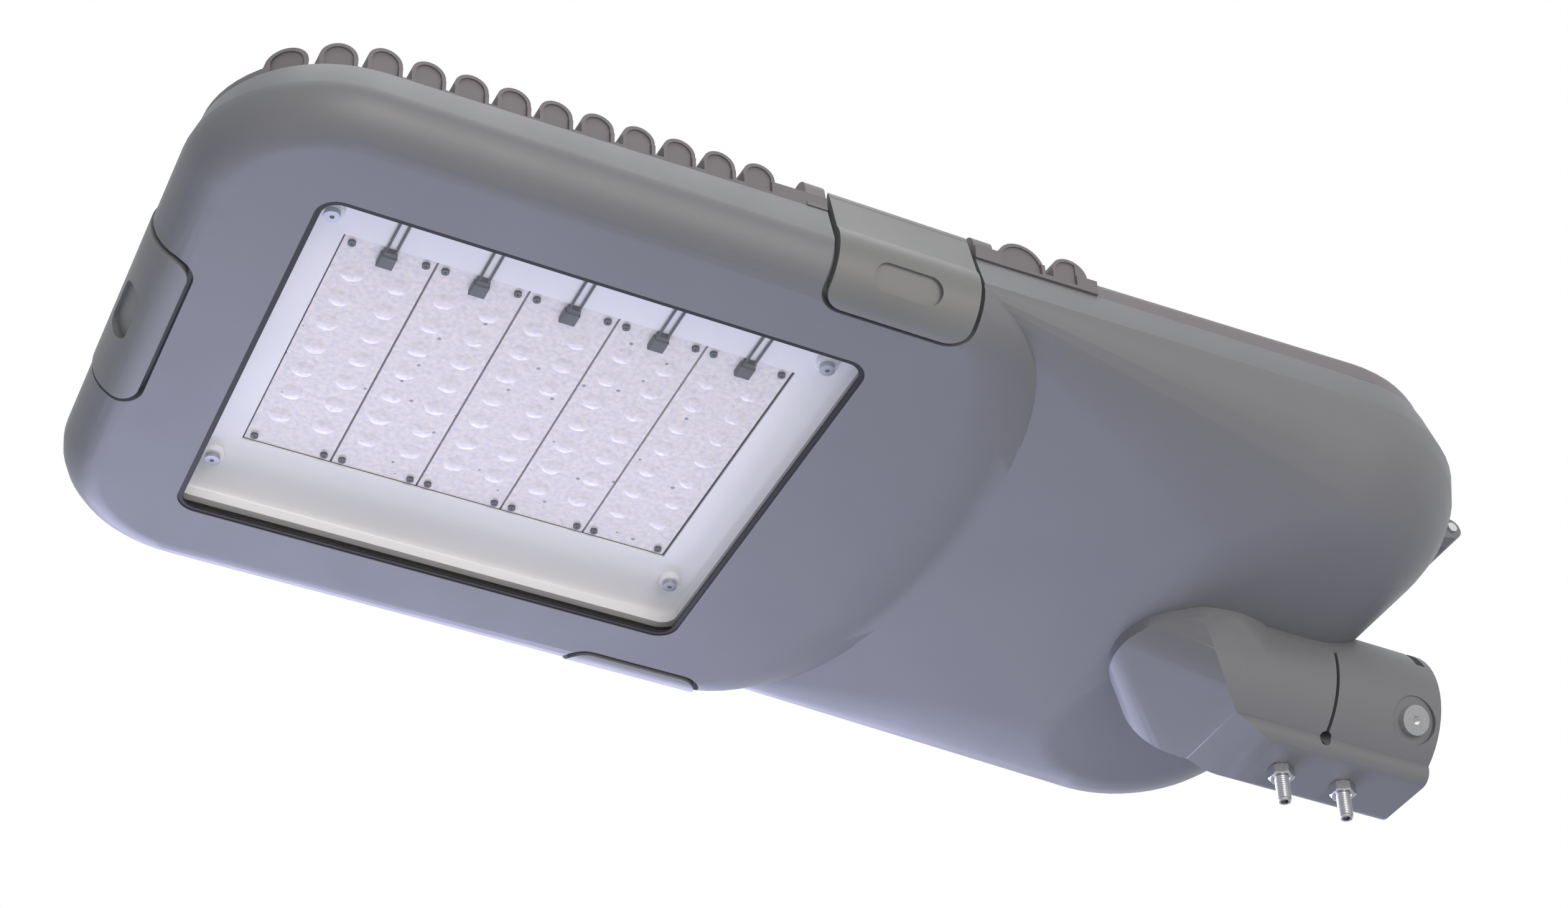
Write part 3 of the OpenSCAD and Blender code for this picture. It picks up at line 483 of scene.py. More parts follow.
@dataclass
class SmoothedNode:
    """A CAD node's own mesh, merged, with rounded sharp edges and smooth shading."""

    node_name: str
    body: str
    slot: str
    edge_mm: float = 0.5
    sharp_deg: float = SHARP_DEG
    shortest_mm: float = 3.0
    smallest_mm2: float = 8.0
    crease_deg: float = 50.0
    merge_mm: float = 0.004
    flat_deg: float = 0.4

    def build(self, frame: Frame, material: Material) -> bpy.types.Object:
        """Copy, merge, bevel and shade the node, and let the copy stand for it.

        Args:
            frame: the loaded frame.
            material: the piece's finish.

        Returns:
            The new object.
        """
        bm = bmesh.new()
        bm.from_mesh(frame["nodes"][self.node_name].data)
        bmesh.ops.remove_doubles(bm, verts=bm.verts, dist=self.merge_mm * MM)
        bmesh.ops.dissolve_limit(
            bm, angle_limit=math.radians(self.flat_deg), verts=bm.verts, edges=bm.edges
        )
        self.reshape(bm)
        bmesh.ops.recalc_face_normals(bm, faces=bm.faces)
        if self.edge_mm > 0:
            self.round_edges(bm)
        mark_smooth(bm, self.sharp_deg)
        made = new_object(self.node_name + "_skin", bm, material)
        stand_in(made, self.node_name, self.body)
        return made

    def reshape(self, bm: Mesh) -> None:
        """Change the merged mesh before its edges are rounded; plain nodes stay as they are.

        Args:
            bm: the merged mesh; not used here.
        """

    def round_edges(self, bm: Mesh) -> None:
        """Bevel the long convex sharp edges.

        Args:
            bm: the merged mesh.
        """
        picked = [
            edge
            for edge in bm.edges
            if len(edge.link_faces) == 2
            and edge.is_convex
            and edge.calc_face_angle(0.0) > math.radians(self.crease_deg)
            and edge.calc_length() > self.shortest_mm * MM
            and min(face.calc_area() for face in edge.link_faces) > self.smallest_mm2 * MM * MM
        ]
        bmesh.ops.bevel(
            bm,
            geom=picked,
            offset=self.edge_mm * MM,
            offset_type="OFFSET",
            affect="EDGES",
            segments=2,
            profile=0.5,
            clamp_overlap=True,
            material=-1,
        )


def housed(x: float, y: float, z: float) -> Vector:
    """Return a place in the housing's frame (mm from nose and underside) in metres."""
    return Vector((x - NOSE_X, y, z + UNDERSIDE_Z)) * MM


def tilted(x: float, y: float, z: float) -> Vector:
    """Return a place in the frame of rim and cover, which rises towards the pole, in metres."""
    cos, sin = math.cos(math.radians(RIM_DEG)), math.sin(math.radians(RIM_DEG))
    along = x - RIM_X
    return housed(RIM_X + along * cos - z * sin, y, along * sin + z * cos)


def loft(bm: Mesh, rows: list[list[Vector]], loop: bool = False, caps: bool = False) -> None:
    """Join closed rows of points with faces.

    Args:
        bm: the mesh to add to.
        rows: rows of equally many points, in metres.
        loop: join the last row to the first.
        caps: close the first and the last row.
    """
    made = [[bm.verts.new(point) for point in row] for row in rows]
    following = made[1:] + ([made[0]] if loop else [])
    for low, high in zip(made, following):
        for i in range(len(low)):
            j = (i + 1) % len(low)
            bm.faces.new((low[i], low[j], high[j], high[i]))
    if caps:
        bm.faces.new(list(reversed(made[0])))
        bm.faces.new(made[-1])


def module_x(number: int) -> float:
    """Return a module's middle, in millimetres from the nose, for a number from 0."""
    return WINDOW_X + (number - (MODULES - 1) / 2) * MODULE_PITCH


def window_ring(
    half_l: float, half_w: float, radius: float, z: float, steps: int = 8
) -> list[Vector]:
    """Return the points of a round-cornered rectangle about the window's middle.

    Args:
        half_l: half its length in millimetres.
        half_w: half its width.
        radius: its corner radius.
        z: its height above the underside.
        steps: edges in each corner.

    Returns:
        The points in metres, once round.
    """
    points = []
    for corner, (sx, sy) in enumerate(((1, 1), (-1, 1), (-1, -1), (1, -1))):
        for k in range(steps + 1):
            angle = math.radians(90.0 * corner + 90.0 * k / steps)
            along = sx * (half_l - radius) + radius * math.cos(angle)
            across = sy * (half_w - radius) + radius * math.sin(angle)
            points.append(housed(WINDOW_X + along, across, z))
    return points


def round_row(
    middle: Point, radius: float, count: int = 24, flats: float = 0.0
) -> list[Vector]:
    """Return points round a vertical axis: a circle, or a hexagon whose corners are cut by it.

    Args:
        middle: centre in millimetres.
        radius: radius of the circle.
        count: number of points.
        flats: half the width across the hexagon's flats, or 0 for a plain circle.

    Returns:
        The points in metres.
    """
    points = []
    sector = 60.0
    for i in range(count):
        angle = 2.0 * math.pi * i / count
        reach = radius
        if flats > 0:
            side = (math.degrees(angle) + sector / 2) % sector - sector / 2
            reach = min(radius, flats / math.cos(math.radians(side)))
        x, y = middle[0] + reach * math.cos(angle), middle[1] + reach * math.sin(angle)
        points.append(Vector((x, y, middle[2])) * MM)
    return points


def close_piece(
    bm: Mesh, node_name: str, finish: Material, sharp_deg: float = SHARP_DEG
) -> None:
    """Turn a new mesh's faces outwards, shade it, and let it stand for a node on the root body.

    Args:
        bm: the mesh, which is freed.
        node_name: the CAD node that it replaces.
        finish: the material.
        sharp_deg: smallest angle of an edge that stays sharp.
    """
    bmesh.ops.recalc_face_normals(bm, faces=bm.faces)
    mark_smooth(bm, sharp_deg)
    stand_in(new_object(node_name + "_skin", bm, finish), node_name, "root")


def dress_nodes(frame: Frame, finish: Material, names: list[str]) -> None:
    """Give CAD nodes that keep their own meshes a finish.

    Args:
        frame: the loaded frame.
        finish: the material.
        names: the nodes.
    """
    for name in names:
        mesh = frame["nodes"][name].data
        mesh.materials.clear()
        mesh.materials.append(finish)
    LOG.info("%s dressed as %s", ", ".join(names), finish.name)


def subtract(bm: Mesh, cutter: Mesh) -> None:
    """Cut one mesh out of another.

    Args:
        bm: the mesh that is cut, changed in place.
        cutter: the mesh that is taken away, which is freed.
    """
    pieces = []
    for source in (bm, cutter):
        mesh = bpy.data.meshes.new("cut")
        source.to_mesh(mesh)
        pieces.append(bpy.data.objects.new("cut", mesh))
        bpy.context.scene.collection.objects.link(pieces[-1])
    modifier = pieces[0].modifiers.new("cut", "BOOLEAN")
    modifier.operation = "DIFFERENCE"
    modifier.solver = "EXACT"
    modifier.object = pieces[1]
    cut = pieces[0].evaluated_get(bpy.context.evaluated_depsgraph_get()).to_mesh()
    before = len(bm.faces)
    bm.clear()
    bm.from_mesh(cut)
    LOG.info("%d faces after a cut, %d before", len(bm.faces), before)
    pieces[0].evaluated_get(bpy.context.evaluated_depsgraph_get()).to_mesh_clear()
    for piece in pieces:
        mesh = piece.data
        bpy.data.objects.remove(piece)
        bpy.data.meshes.remove(mesh)
    cutter.free()


@dataclass
class LowerBody(SmoothedNode):
    """The lower casting, with a soft bolt boss."""

    boss_half_w: float = 25.0
    boss_low: float = -47.0
    boss_round: float = 8.0
    boss_ends: Pair = (1.0, -140.0)
    margin: float = 1.0
    steps: int = 10

    def reshape(self, bm: Mesh) -> None:
        """Round the boss's long edges.

        Args:
            bm: the merged mesh.
        """
        cutter = bmesh.new()
        middle_y, middle_z = self.boss_half_w - self.boss_round, self.boss_low + self.boss_round
        out, under = self.boss_half_w + self.margin, self.boss_low - self.margin
        section = [(out, middle_z), (out, under), (middle_y, under)]
        for k in range(self.steps + 1):
            angle = math.radians(90.0 * k / self.steps)
            y = middle_y + self.boss_round * math.sin(angle)
            section.append((y, middle_z - self.boss_round * math.cos(angle)))
        for side in (-1, 1):
            rows = [[Vector((x, side * y, z)) * MM for y, z in section] for x in self.boss_ends]
            loft(cutter, rows, caps=True)
        bmesh.ops.recalc_face_normals(cutter, faces=cutter.faces)
        subtract(bm, cutter)


@dataclass
class RibbedCover(SmoothedNode):
    """The finned cover, with the gaps between ribs cut down to the rim and shallow rib ends."""

    half_w: float = 183.0
    nose_r: float = 75.0
    rib_x0: float = 33.6
    rib_pitch: float = 21.3
    rib_w: float = 17.0
    ribs: int = 12
    rear_ribs: tuple[Pair, ...] = ((414.0, 27.0), (442.5, 21.0))
    rear_gap: Pair = (429.75, 4.6)
    rim_z: float = 48.6
    rib_rim: float = 2.0
    crown_r: float = 1282.04
    crown_z: float = -1202.44
    skin_r: float = 859.7
    skin_z: float = -790.1
    nose_fall_deg: float = 7.0
    rib_h: float = 9.0
    lead_in: float = 1.2
    play: float = 0.1
    stations: tuple[float, ...] = (137.0, 150.0, 158.0, 166.0, 174.0, 186.0)
    floor_insets: Pair = (10.0, 15.6)
    arc_steps: int = 12

    def drop(self, x: float) -> float:
        """Return how far the cover has fallen off at a distance from the nose."""
        return max(0.0, self.nose_r - x) * math.tan(math.radians(self.nose_fall_deg))

    def side(self, x: float, inset: float) -> float:
        """Return the half width of the plan outline at a distance from the nose, less an inset."""
        if x >= self.nose_r:
            return self.half_w - inset
        reach = math.sqrt((self.nose_r - inset) ** 2 - (self.nose_r - x) ** 2)
        return self.half_w - self.nose_r + reach

    def reshape(self, bm: Mesh) -> None:
        """Cut the valleys' outer ends and fill the rib ends up to a shallow recess.

        Args:
            bm: the merged mesh.
        """
        cutter = bmesh.new()
        for i in range(self.ribs - 1):
            middle = self.rib_x0 + (i + 0.5) * self.rib_pitch
            self.valley(cutter, middle, self.rib_pitch - self.rib_w + self.play)
        self.valley(cutter, *self.rear_gap)
        bmesh.ops.recalc_face_normals(cutter, faces=cutter.faces)
        subtract(bm, cutter)
        for i in range(self.ribs):
            self.rib_end(bm, self.rib_x0 + i * self.rib_pitch, self.rib_w)
        for middle, width in self.rear_ribs:
            self.rib_end(bm, middle, width)

    def valley(self, bm: Mesh, middle: float, width: float) -> None:
        """Add the two cutters for the gap at a distance from the nose.

        Args:
            bm: the cutters' mesh.
            middle: the gap's middle.
            width: its width.
        """
        fall, foot_r = self.drop(middle), self.crown_r - self.rib_h
        high = [self.crown_z + math.sqrt(foot_r**2 - y * y) - fall for y in self.stations]
        low = [self.skin_z + math.sqrt(self.skin_r**2 - y * y) - fall for y in self.stations]
        low[0] = high[0] - self.lead_in
        outline = list(zip(self.stations, low)) + list(zip(self.stations, high))[::-1]
        for side in (-1, 1):
            ends = (middle - width / 2, middle + width / 2)
            loft(bm, [[tilted(x, side * y, z) for y, z in outline] for x in ends], caps=True)

    def rib_end(self, bm: Mesh, middle: float, width: float) -> None:
        """Add the two floors that leave only a shallow recess in a rib's ends.

        Args:
            bm: the cover's mesh.
            middle: the rib's distance from the nose.
            width: its width.
        """
        half = width / 2 - self.rib_rim + self.play
        foot = self.rim_z + self.rib_rim - self.play
        for side in (-1, 1):
            rows = []
            for inset in self.floor_insets:
                crown = math.sqrt(self.crown_r**2 - self.side(middle, inset) ** 2)
                top = self.crown_z + crown - self.rib_rim + self.play - self.drop(middle)
                outline = [(-half, foot)]
                for k in range(self.arc_steps + 1):
                    angle = math.radians(180.0 - 180.0 * k / self.arc_steps)
                    z = max(foot + self.play, top - half + half * math.sin(angle))
                    outline.append((half * math.cos(angle), z))
                outline.append((half, foot))
                row = []
                for dx, z in outline:
                    row.append(tilted(middle + dx, side * self.side(middle + dx, inset), z))
                rows.append(row)
            loft(bm, rows, caps=True)


@dataclass
class LatchSkin(SmoothedNode):
    """A latch, drawn a little smaller than its pocket so that the gap round it shows."""

    middle: Point = (0.0, 0.0, 0.0)
    shrink: Point = (1.0, 1.0, 1.0)

    def reshape(self, bm: Mesh) -> None:
        """Shrink the latch along the wall and at its free lip.

        Args:
            bm: the merged mesh.
        """
        for vert in bm.verts:
            for axis in range(3):
                centre = self.middle[axis] * MM
                vert.co[axis] = centre + (vert.co[axis] - centre) * self.shrink[axis]


@dataclass
class Lifted(SmoothedNode):
    """A piece that sits a little higher, on top of the reflector's foot."""

    rise_mm: float = 0.0

    def reshape(self, bm: Mesh) -> None:
        """Lift the mesh.

        Args:
            bm: the merged mesh.
        """
        bmesh.ops.translate(bm, verts=bm.verts, vec=(0.0, 0.0, self.rise_mm * MM))


@dataclass
class SmallScrews(SmoothedNode):
    """The module screws, drawn as small as the photograph shows them."""

    share: float = 0.62
    half_w: float = 19.0
    half_l: float = 80.5

    def reshape(self, bm: Mesh) -> None:
        """Shrink each screw about its own axis.

        Args:
            bm: the merged mesh.
        """
        places = [
            housed(module_x(i) + side * self.half_w, end * self.half_l, 0.0)
            for i in range(MODULES)
            for side in (-1, 1)
            for end in (-1, 1)
        ]
        for vert in bm.verts:
            nearest = min(places, key=lambda place: (place.xy - vert.co.xy).length)
            vert.co.xy = nearest.xy + (vert.co.xy - nearest.xy) * self.share


@dataclass
class LensSkin(SmoothedNode):
    """A lens plate whose domes stand out only a little."""

    face_z: float = 51.0
    dome_share: float = 0.15
    play: float = 0.05

    def reshape(self, bm: Mesh) -> None:
        """Flatten what stands out below the plate.

        Args:
            bm: the merged mesh.
        """
        face = self.face_z * MM
        for vert in bm.verts:
            if vert.co.z < face - self.play * MM:
                vert.co.z = face - (face - vert.co.z) * self.dome_share


@dataclass
class Castings:
    """The painted castings: lower body, ribbed cover and the three latches."""

    edge_mm: float = 0.5
    latch_edge_mm: float = 0.6
    pin_edge_mm: float = 0.4
    pin_shortest_mm: float = 0.2

    def build(self, frame: Frame, finishes: Finishes) -> None:
        """Build and dress the castings.

        Args:
            frame: the loaded frame.
            finishes: the lantern's finishes.
        """
        body = LowerBody("lower_body", "root", "housing_paint", self.edge_mm)
        body.build(frame, finishes.housing)
        cover = RibbedCover("top_cover", "root", "cover_paint", self.edge_mm)
        cover.build(frame, finishes.cover)
        latches = (
            ("nose_latch", (-744.0, 0.0, 0.0), (0.965, 0.984, 1.0)),
            ("left_latch", (-400.0, -183.0, 0.0), (0.978, 0.965, 1.0)),
            ("right_latch", (-400.0, 183.0, 0.0), (0.978, 0.965, 1.0)),
        )
        for latch, middle, shrink in latches:
            skin = LatchSkin(latch, latch, "latch_paint", self.latch_edge_mm)
            skin.middle, skin.shrink = middle, shrink
            skin.build(frame, finishes.latch)
        for name in ("latch_pins", "hinge_pins"):
            pins = SmoothedNode(name, "root", "stainless", self.pin_edge_mm)
            pins.shortest_mm = self.pin_shortest_mm
            pins.build(frame, finishes.stainless)


@dataclass
class Window:
    """Glass pane with its gaskets, clips and screws.

    The gasket's section is a list of places: outwards from the opening's edge, and above the
    underside.
    """

    half_l: float = 143.0
    half_w: float = 128.0
    corner: float = 12.0
    clip_rise: float = 1.6
    section: tuple[Pair, ...] = (
        (-2.7, 0.5), (-3.0, 0.8), (-3.0, 1.4), (-0.1, 4.0), (2.0, 4.1), (2.0, 5.5),
        (6.0, 5.5), (6.0, 10.5), (9.0, 10.5), (9.0, 4.0), (0.0, 4.0), (0.0, 0.5),
    )

    def gasket(self, finish: Material) -> None:
        """Make the gasket: a thin lip in the opening, a bed below the pane and a rim round it.

        Args:
            finish: the rubber.
        """
        bm = bmesh.new()
        rows = [
            window_ring(self.half_l + out, self.half_w + out, self.corner + min(out, 0.0), z)
            for out, z in self.section
        ]
        loft(bm, rows, loop=True)
        close_piece(bm, "glass_gasket", finish)

    def build(self, frame: Frame, finishes: Finishes) -> None:
        """Dress the window's pieces.

        Args:
            frame: the loaded frame.
            finishes: the lantern's finishes.
        """
        self.gasket(finishes.rubber)
        dress_nodes(frame, finishes.rubber, ["cover_gasket"])
        dress_nodes(frame, finishes.glass, ["glass_pane"])
        for name in ("glass_clips", "clip_screws"):
            lifted = Lifted(name, "root", "stainless", edge_mm=0.0, rise_mm=self.clip_rise)
            lifted.build(frame, finishes.stainless)


@dataclass
class LightEngine:
    """Reflector frame and the five modules with boards, lens plates, connectors and leads.

    The cove is a list of shares of the way from inner to outer edge, and heights above the
    underside. A post's section is a list of radii and heights above the socket's axis.
    """

    lens_edge_mm: float = 0.3
    sheet: float = 1.2
    inner: Pair = (120.5, 85.5)
    outer: Pair = (143.4, 128.4)
    inner_corner: float = 0.6
    corner_growth: float = 8.4
    cove: tuple[Pair, ...] = (
        (0.0, 21.8), (0.35, 21.4), (0.6, 20.9), (0.75, 20.3), (0.85, 19.5),
        (0.92, 18.8), (0.965, 17.8), (0.99, 16.7), (1.0, 15.4),
    )
    foot_z: float = 10.8
    foot_w: float = 4.9
    post: Pair = (131.0, 101.0)
    post_section: tuple[Pair, ...] = (
        (5.6, 46.0), (6.0, 46.4), (6.0, 51.0), (2.3, 51.0), (2.3, 46.0),
    )
    lead_r: float = 0.7
    lead_apart: float = 2.4
    lead_sides: int = 10
    lead_run: tuple[Pair, ...] = (
        (-82.0, 20.6), (-90.0, 20.7), (-100.0, 20.5), (-110.0, 20.0),
        (-117.0, 19.2), (-121.5, 18.0), (-125.0, 16.4), (-128.9, 15.6),
    )
    plug_parts: tuple[tuple[float, ...], ...] = (
        (4.2, -72.5, -81.0, 19.2),
        (3.4, -80.5, -83.9, 19.8),
    )
    plug_top: float = 23.0
    plug_taper: float = 0.9
    plug_chamfer: float = 0.5

    def level(self, share: float, out: float, z: float) -> list[Vector]:
        """Return one ring of the reflector.

        Args:
            share: share of the way from its inner to its outer edge.
            out: distance by which the ring grows beyond that, in millimetres.
            z: height above the underside.

        Returns:
            The ring's points in metres.
        """
        half_l, half_w = (a + share * (b - a) + out for a, b in zip(self.inner, self.outer))
        return window_ring(half_l, half_w, self.inner_corner + self.corner_growth * share + out, z)

    def reflector(self, finish: Material) -> None:
        """Make the reflector: bands that curve down into a skirt with a narrow foot, and posts.

        Args:
            finish: its white enamel.
        """
        foot_top = self.foot_z + self.sheet
        rows = [self.level(share, 0.0, z) for share, z in self.cove]
        rows.append(self.level(1.0, 0.0, self.foot_z))
        rows.append(self.level(1.0, self.foot_w, self.foot_z))
        rows.append(self.level(1.0, self.foot_w, foot_top))
        rows.append(self.level(1.0, self.sheet, foot_top))
        for share, z in reversed(self.cove[:-1]):
            rows.append(self.level(share, self.sheet * share, z + self.sheet))
        bm = bmesh.new()
        loft(bm, rows, loop=True)
        for sx in (-1, 1):
            for sy in (-1, 1):
                x, y = WINDOW_X - NOSE_X + sx * self.post[0], sy * self.post[1]
                loft(bm, [round_row((x, y, z), r) for r, z in self.post_section], loop=True)
        close_piece(bm, "reflector_frame", finish)

    def leads(self, finish: Material) -> None:
        """Make the wire pairs that run from the connectors down the band and out through the skirt.

        Args:
            finish: their dark insulation.
        """
        turn = 2.0 * math.pi
        ring = [turn * k / self.lead_sides for k in range(self.lead_sides)]
        circle = [(self.lead_r * math.cos(a), self.lead_r * math.sin(a)) for a in ring]
        bm = bmesh.new()
        for i in range(MODULES):
            for side in (-1, 1):
                x = module_x(i) + side * self.lead_apart
                rows = [[housed(x + dx, y, z + dz) for dx, dz in circle] for y, z in self.lead_run]
                loft(bm, rows, caps=True)
        close_piece(bm, "led_leads", finish, sharp_deg=50.0)

    def connectors(self, finish: Material) -> None:
        """Make the plug housings: a body with a narrower collar on the lead side.

        Each part has half its length, its near and far side, and its lower face.

        Args:
            finish: their dark plastic.
        """
        bm = bmesh.new()
        for i in range(MODULES):
            x = module_x(i)
            for half_x, near, far, low in self.plug_parts:
                corners = ((-half_x, near), (half_x, near), (half_x, far), (-half_x, far))
                centre = (near + far) / 2
                chamfer = low + self.plug_chamfer
                rows = []
                for share, z in ((self.plug_taper, low), (1.0, chamfer), (1.0, self.plug_top)):
                    places = [(x + dx * share, (y - centre) * share + centre) for dx, y in corners]
                    rows.append([housed(*place, z) for place in places])
                loft(bm, rows, caps=True)
        close_piece(bm, "led_connectors", finish)

    def build(self, frame: Frame, finishes: Finishes) -> None:
        """Dress the reflector and the modules.

        Args:
            frame: the loaded frame.
            finishes: the lantern's finishes.
        """
        numbers = range(1, MODULES + 1)
        self.reflector(finishes.reflector)
        dress_nodes(frame, finishes.board, [f"led_board_{i}" for i in numbers])
        for i in numbers:
            lens = LensSkin(f"led_lens_{i}", "root", "lens_clear", self.lens_edge_mm)
            lens.build(frame, finishes.lens)
        screws = SmallScrews("module_screws", "root", "dark_steel", edge_mm=0.0)
        screws.build(frame, finishes.blackened)
        dress_nodes(frame, finishes.zinc, ["reflector_screws"])
        self.connectors(finishes.plastic)
        self.leads(finishes.plastic)


@dataclass
class Gear:
    """Tray, driver, surge protector, terminals and gland inside the housing."""

    def build(self, frame: Frame, finishes: Finishes) -> None:
        """Dress the gear.

        Args:
            frame: the loaded frame.
            finishes: the lantern's finishes.
        """
        dress_nodes(frame, finishes.zinc, ["gear_tray"])
        dress_nodes(frame, finishes.driver, ["led_driver"])
        dress_nodes(frame, finishes.off_white, ["surge_protector", "terminal_block"])
        dress_nodes(frame, finishes.stainless, ["gear_screws"])
        dress_nodes(frame, finishes.polyamide, ["cable_gland"])


@dataclass
class Clamp:
    """Clamp set screws, their lock nuts and the lock screw at the pole socket.

    Heights are above the socket's axis. The flank gives the thread's section in shares of the
    pitch, and the nut's chamfer and bore are lists of radii and heights in the nut.
    """

    edge_mm: float = 0.4
    shortest_mm: float = 0.2
    merge_mm: float = 0.0005
    screw_x: tuple[float, ...] = (-42.0, -82.0)
    tip_z: float = -68.2
    top_z: float = -31.5
    boss_z: float = -47.0
    thread_r: float = 4.0
    core_r: float = 3.3
    pitch: float = 1.25
    flank: tuple[float, ...] = (0.0, 0.42, 0.56, 1.0)
    thread_start: float = 0.3
    tip_chamfer: float = 0.8
    runout: float = 0.6
    overlap: float = 0.1
    key_half: float = 2.0
    key_depth: float = 4.0
    nut_h: float = 6.4
    nut_half: float = 6.5
    nut_chamfer: tuple[Pair, ...] = ((6.2, 0.0), (6.9, 0.35), (7.5, 0.75))
    nut_bore: tuple[Pair, ...] = ((4.1, 6.4), (4.1, 0.5), (4.6, 0.0))
    nut_steps: int = 48
    steps: int = 24

    def set_screw(self, bm: Mesh, x: float) -> None:
        """Add one set screw: hexagon socket and chamfer at its lower end, then a real thread.

        Args:
            bm: the mesh to add to.
            x: the screw's place along the socket.
        """
        turns = int((self.boss_z - self.nut_h + 1.0 - self.tip_z) / self.pitch)
        plain = self.tip_z + turns * self.pitch
        levels = (
            (self.thread_r, self.tip_z + self.key_depth, self.key_half),
            (self.thread_r, self.tip_z, self.key_half),
            (self.core_r - self.overlap, self.tip_z, 0.0),
            (self.thread_r - self.overlap, self.tip_z + self.tip_chamfer, 0.0),
            (self.core_r, self.tip_z + self.tip_chamfer + self.overlap, 0.0),
            (self.core_r, plain, 0.0),
            (self.thread_r, plain + self.runout, 0.0),
            (self.thread_r, self.top_z, 0.0),
        )
        rows = [round_row((x, 0.0, z), r, self.steps, flats) for r, z, flats in levels]
        loft(bm, rows, caps=True)
        profile = list(zip((self.core_r, self.thread_r, self.thread_r, self.core_r), self.flank))
        rows = []
        for k in range(turns * self.steps + 1):
            angle = 2.0 * math.pi * k / self.steps
            cos, sin = math.cos(angle), math.sin(angle)
            turned = k / self.steps - self.thread_start
            base = self.tip_z + self.thread_start + self.pitch * turned
            points = [(x + r * cos, r * sin, base + share * self.pitch) for r, share in profile]
            rows.append([Vector(point) * MM for point in points])
        loft(bm, rows)

    def nut(self, bm: Mesh, x: float) -> None:
        """Add one hexagon nut with chamfered corners below the boss.

        Args:
            bm: the mesh to add to.
            x: the nut's place along the socket.
        """
        low = self.boss_z - self.nut_h
        upper = [(r, self.nut_h - z) for r, z in reversed(self.nut_chamfer)]
        outside = list(self.nut_chamfer) + upper
        rows = [round_row((x, 0.0, low + z), r, self.nut_steps, self.nut_half) for r, z in outside]
        rows += [round_row((x, 0.0, low + z), r, self.nut_steps) for r, z in self.nut_bore]
        loft(bm, rows, loop=True)

    def build(self, frame: Frame, finishes: Finishes) -> None:
        """Dress the clamp's fasteners.

        Args:
            frame: the loaded frame.
            finishes: the lantern's finishes.
        """
        pieces = (("clamp_bolts", self.set_screw, 40.0), ("clamp_nuts", self.nut, 25.0))
        for node_name, add, sharp_deg in pieces:
            bm = bmesh.new()
            for x in self.screw_x:
                add(bm, x)
            bmesh.ops.remove_doubles(bm, verts=bm.verts, dist=self.merge_mm * MM)
            close_piece(bm, node_name, finishes.stainless, sharp_deg)
        lock = SmoothedNode("lock_screw", "root", "stainless", self.edge_mm)
        lock.shortest_mm = self.shortest_mm
        lock.build(frame, finishes.stainless)


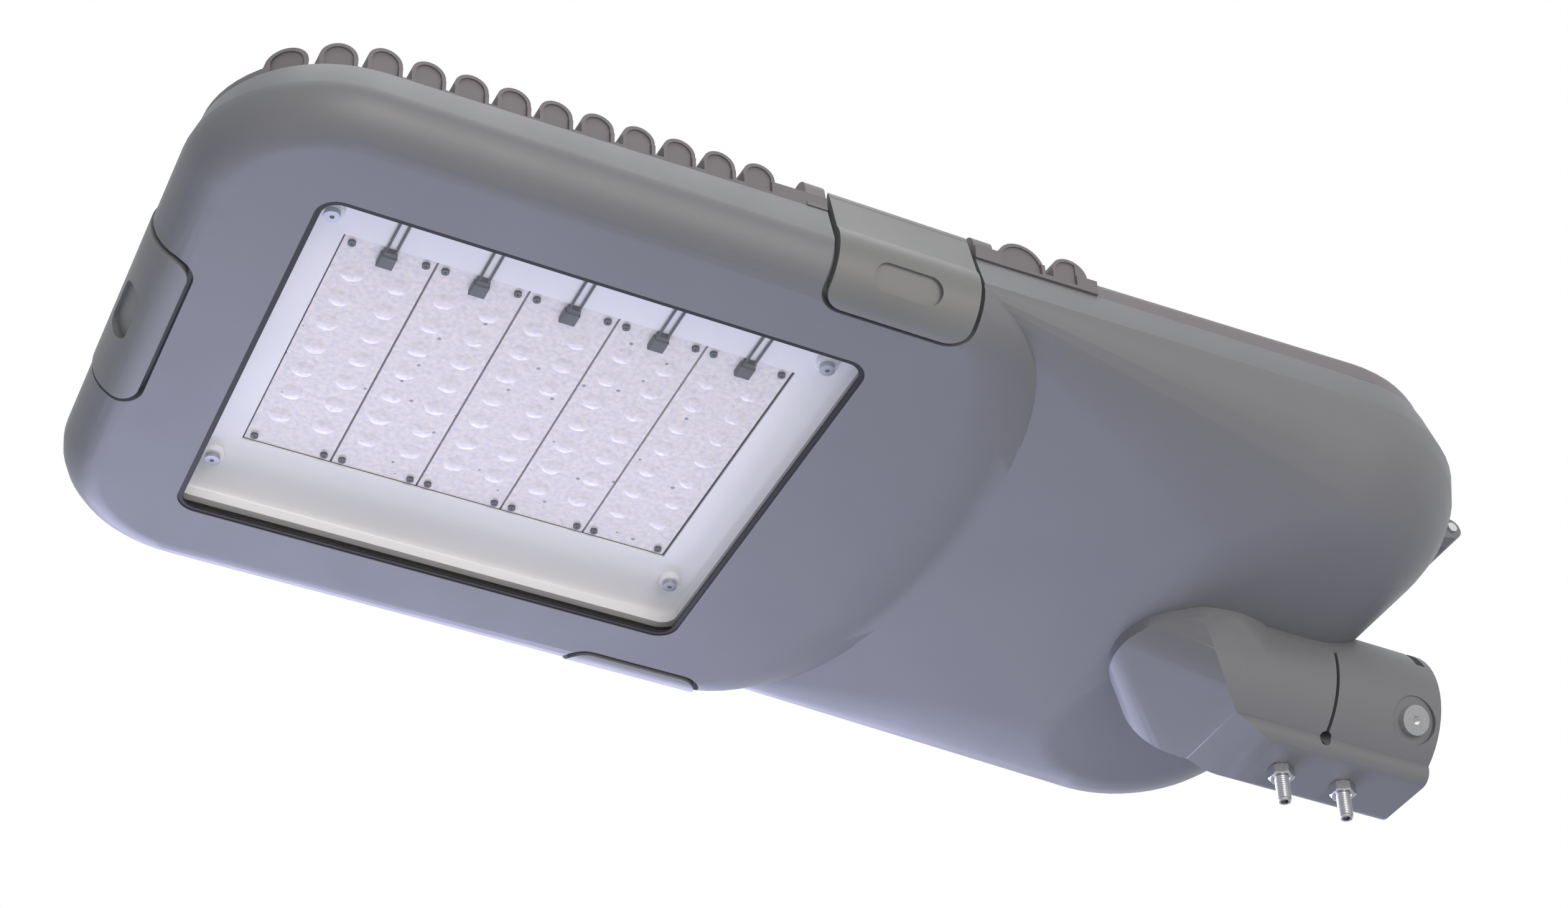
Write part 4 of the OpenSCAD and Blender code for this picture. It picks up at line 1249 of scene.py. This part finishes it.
@dataclass
class Studio:
    """Pale floor, white surround, soft lamps and the camera at the photograph's angle."""

    camera_place: Point = (-0.883768, -1.068597, -0.901015)
    camera_back: Point = (-0.3275, -0.6987, -0.6361)
    lens_mm: float = 64.945
    sensor_mm: float = 36.0
    floor_z: float = -1.25
    floor_size: float = 14.0
    ambient: float = 0.3
    ambient_colour: str = "F6F6F8"
    aim: Point = (-0.38, 0.0, 0.03)
    lamps: tuple[tuple[str, Point, float, float, str], ...] = (
        ("side_lamp", (-0.5, -2.3, -0.6), 1.6, 38.0, "FFF6E8"),
        ("under_lamp", (-0.9, 1.6, -1.1), 1.6, 5.0, "E8ECFF"),
        ("far_lamp", (-0.3, 2.2, -0.45), 1.6, 52.0, "D8D8FF"),
        ("top_lamp", (-0.6, -0.4, 2.2), 1.8, 20.0, "FFFFFF"),
    )

    def camera(self) -> None:
        """Set the camera at the place and angle of the photograph."""
        data = bpy.data.cameras.new("camera")
        data.lens = self.lens_mm
        data.sensor_width = self.sensor_mm
        data.clip_start = 0.05
        data.clip_end = 60.0
        made = bpy.data.objects.new("camera", data)
        bpy.context.scene.collection.objects.link(made)
        back = Vector(self.camera_back).normalized()
        right = Vector((0, 0, 1)).cross(back).normalized()
        axes = Matrix((right, back.cross(right), back)).transposed()
        made.matrix_world = Matrix.Translation(Vector(self.camera_place)) @ axes.to_4x4()
        bpy.context.scene.camera = made

    def world(self) -> None:
        """Light softly from all round, and show white to the camera, gloss and glass."""
        world = bpy.data.worlds.new("studio")
        bpy.context.scene.world = world
        world.use_nodes = True
        tree = world.node_tree
        tree.nodes.clear()
        path = node(tree, "ShaderNodeLightPath").outputs
        largest = {"operation": "MAXIMUM"}
        rays = {0: path["Is Camera Ray"], 1: path["Is Transmission Ray"]}
        seen = node(tree, "ShaderNodeMath", largest, rays)
        rays = {0: seen.outputs[0], 1: path["Is Glossy Ray"]}
        clean = node(tree, "ShaderNodeMath", largest, rays)
        sockets = {"Color": linear(self.ambient_colour), "Strength": self.ambient}
        soft = node(tree, "ShaderNodeBackground", sockets=sockets)
        sockets = {"Color": linear("FFFFFF"), "Strength": 1.0}
        white = node(tree, "ShaderNodeBackground", sockets=sockets)
        mix = node(
            tree,
            "ShaderNodeMixShader",
            sockets={0: clean.outputs[0], 1: soft.outputs[0], 2: white.outputs[0]},
        )
        node(tree, "ShaderNodeOutputWorld", sockets={"Surface": mix.outputs[0]})

    def floor(self) -> None:
        """Lay a pale floor well below the lantern."""
        bm = bmesh.new()
        middle = Matrix.Translation((self.aim[0], self.aim[1], self.floor_z))
        half = self.floor_size / 2
        bmesh.ops.create_grid(bm, x_segments=1, y_segments=1, size=half, matrix=middle)
        # Matt pale floor paint: no gloss, so that only a soft shadow shows
        paint = Finish("pale_floor_paint", Shade.FLOOR, roughness=0.9).build()
        new_object("floor", bm, paint)

    def lamp(self, name: str, place: Point, size: float, watts: float, hex_value: str) -> None:
        """Add a square soft lamp that faces the lantern.

        Args:
            name: the lamp's name.
            place: where it stands, in metres.
            size: its side length in metres.
            watts: its power.
            hex_value: its colour.
        """
        data = bpy.data.lights.new(name, "AREA")
        data.shape = "SQUARE"
        data.size = size
        data.energy = watts
        data.color = linear(hex_value)[:3]
        made = bpy.data.objects.new(name, data)
        made.location = place
        facing = Vector(self.aim) - Vector(place)
        made.rotation_euler = facing.to_track_quat("-Z", "Y").to_euler()
        bpy.context.scene.collection.objects.link(made)

    def build(self) -> None:
        """Set up camera, surround, floor, lamps and the plain view transform."""
        bpy.context.scene.view_settings.view_transform = "Standard"
        self.camera()
        self.world()
        self.floor()
        for lamp in self.lamps:
            self.lamp(*lamp)


def main() -> None:
    """Dress the lantern and set up the studio."""
    logging.basicConfig(level=logging.INFO, format="%(name)s: %(message)s")
    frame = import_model()
    finishes = Finishes()
    for assembly in (Castings(), Window(), LightEngine(), Gear(), Clamp()):
        assembly.build(frame, finishes)
    Studio().build()
    LOG.info("all pieces are in place")


if __name__ == "__main__":
    main()
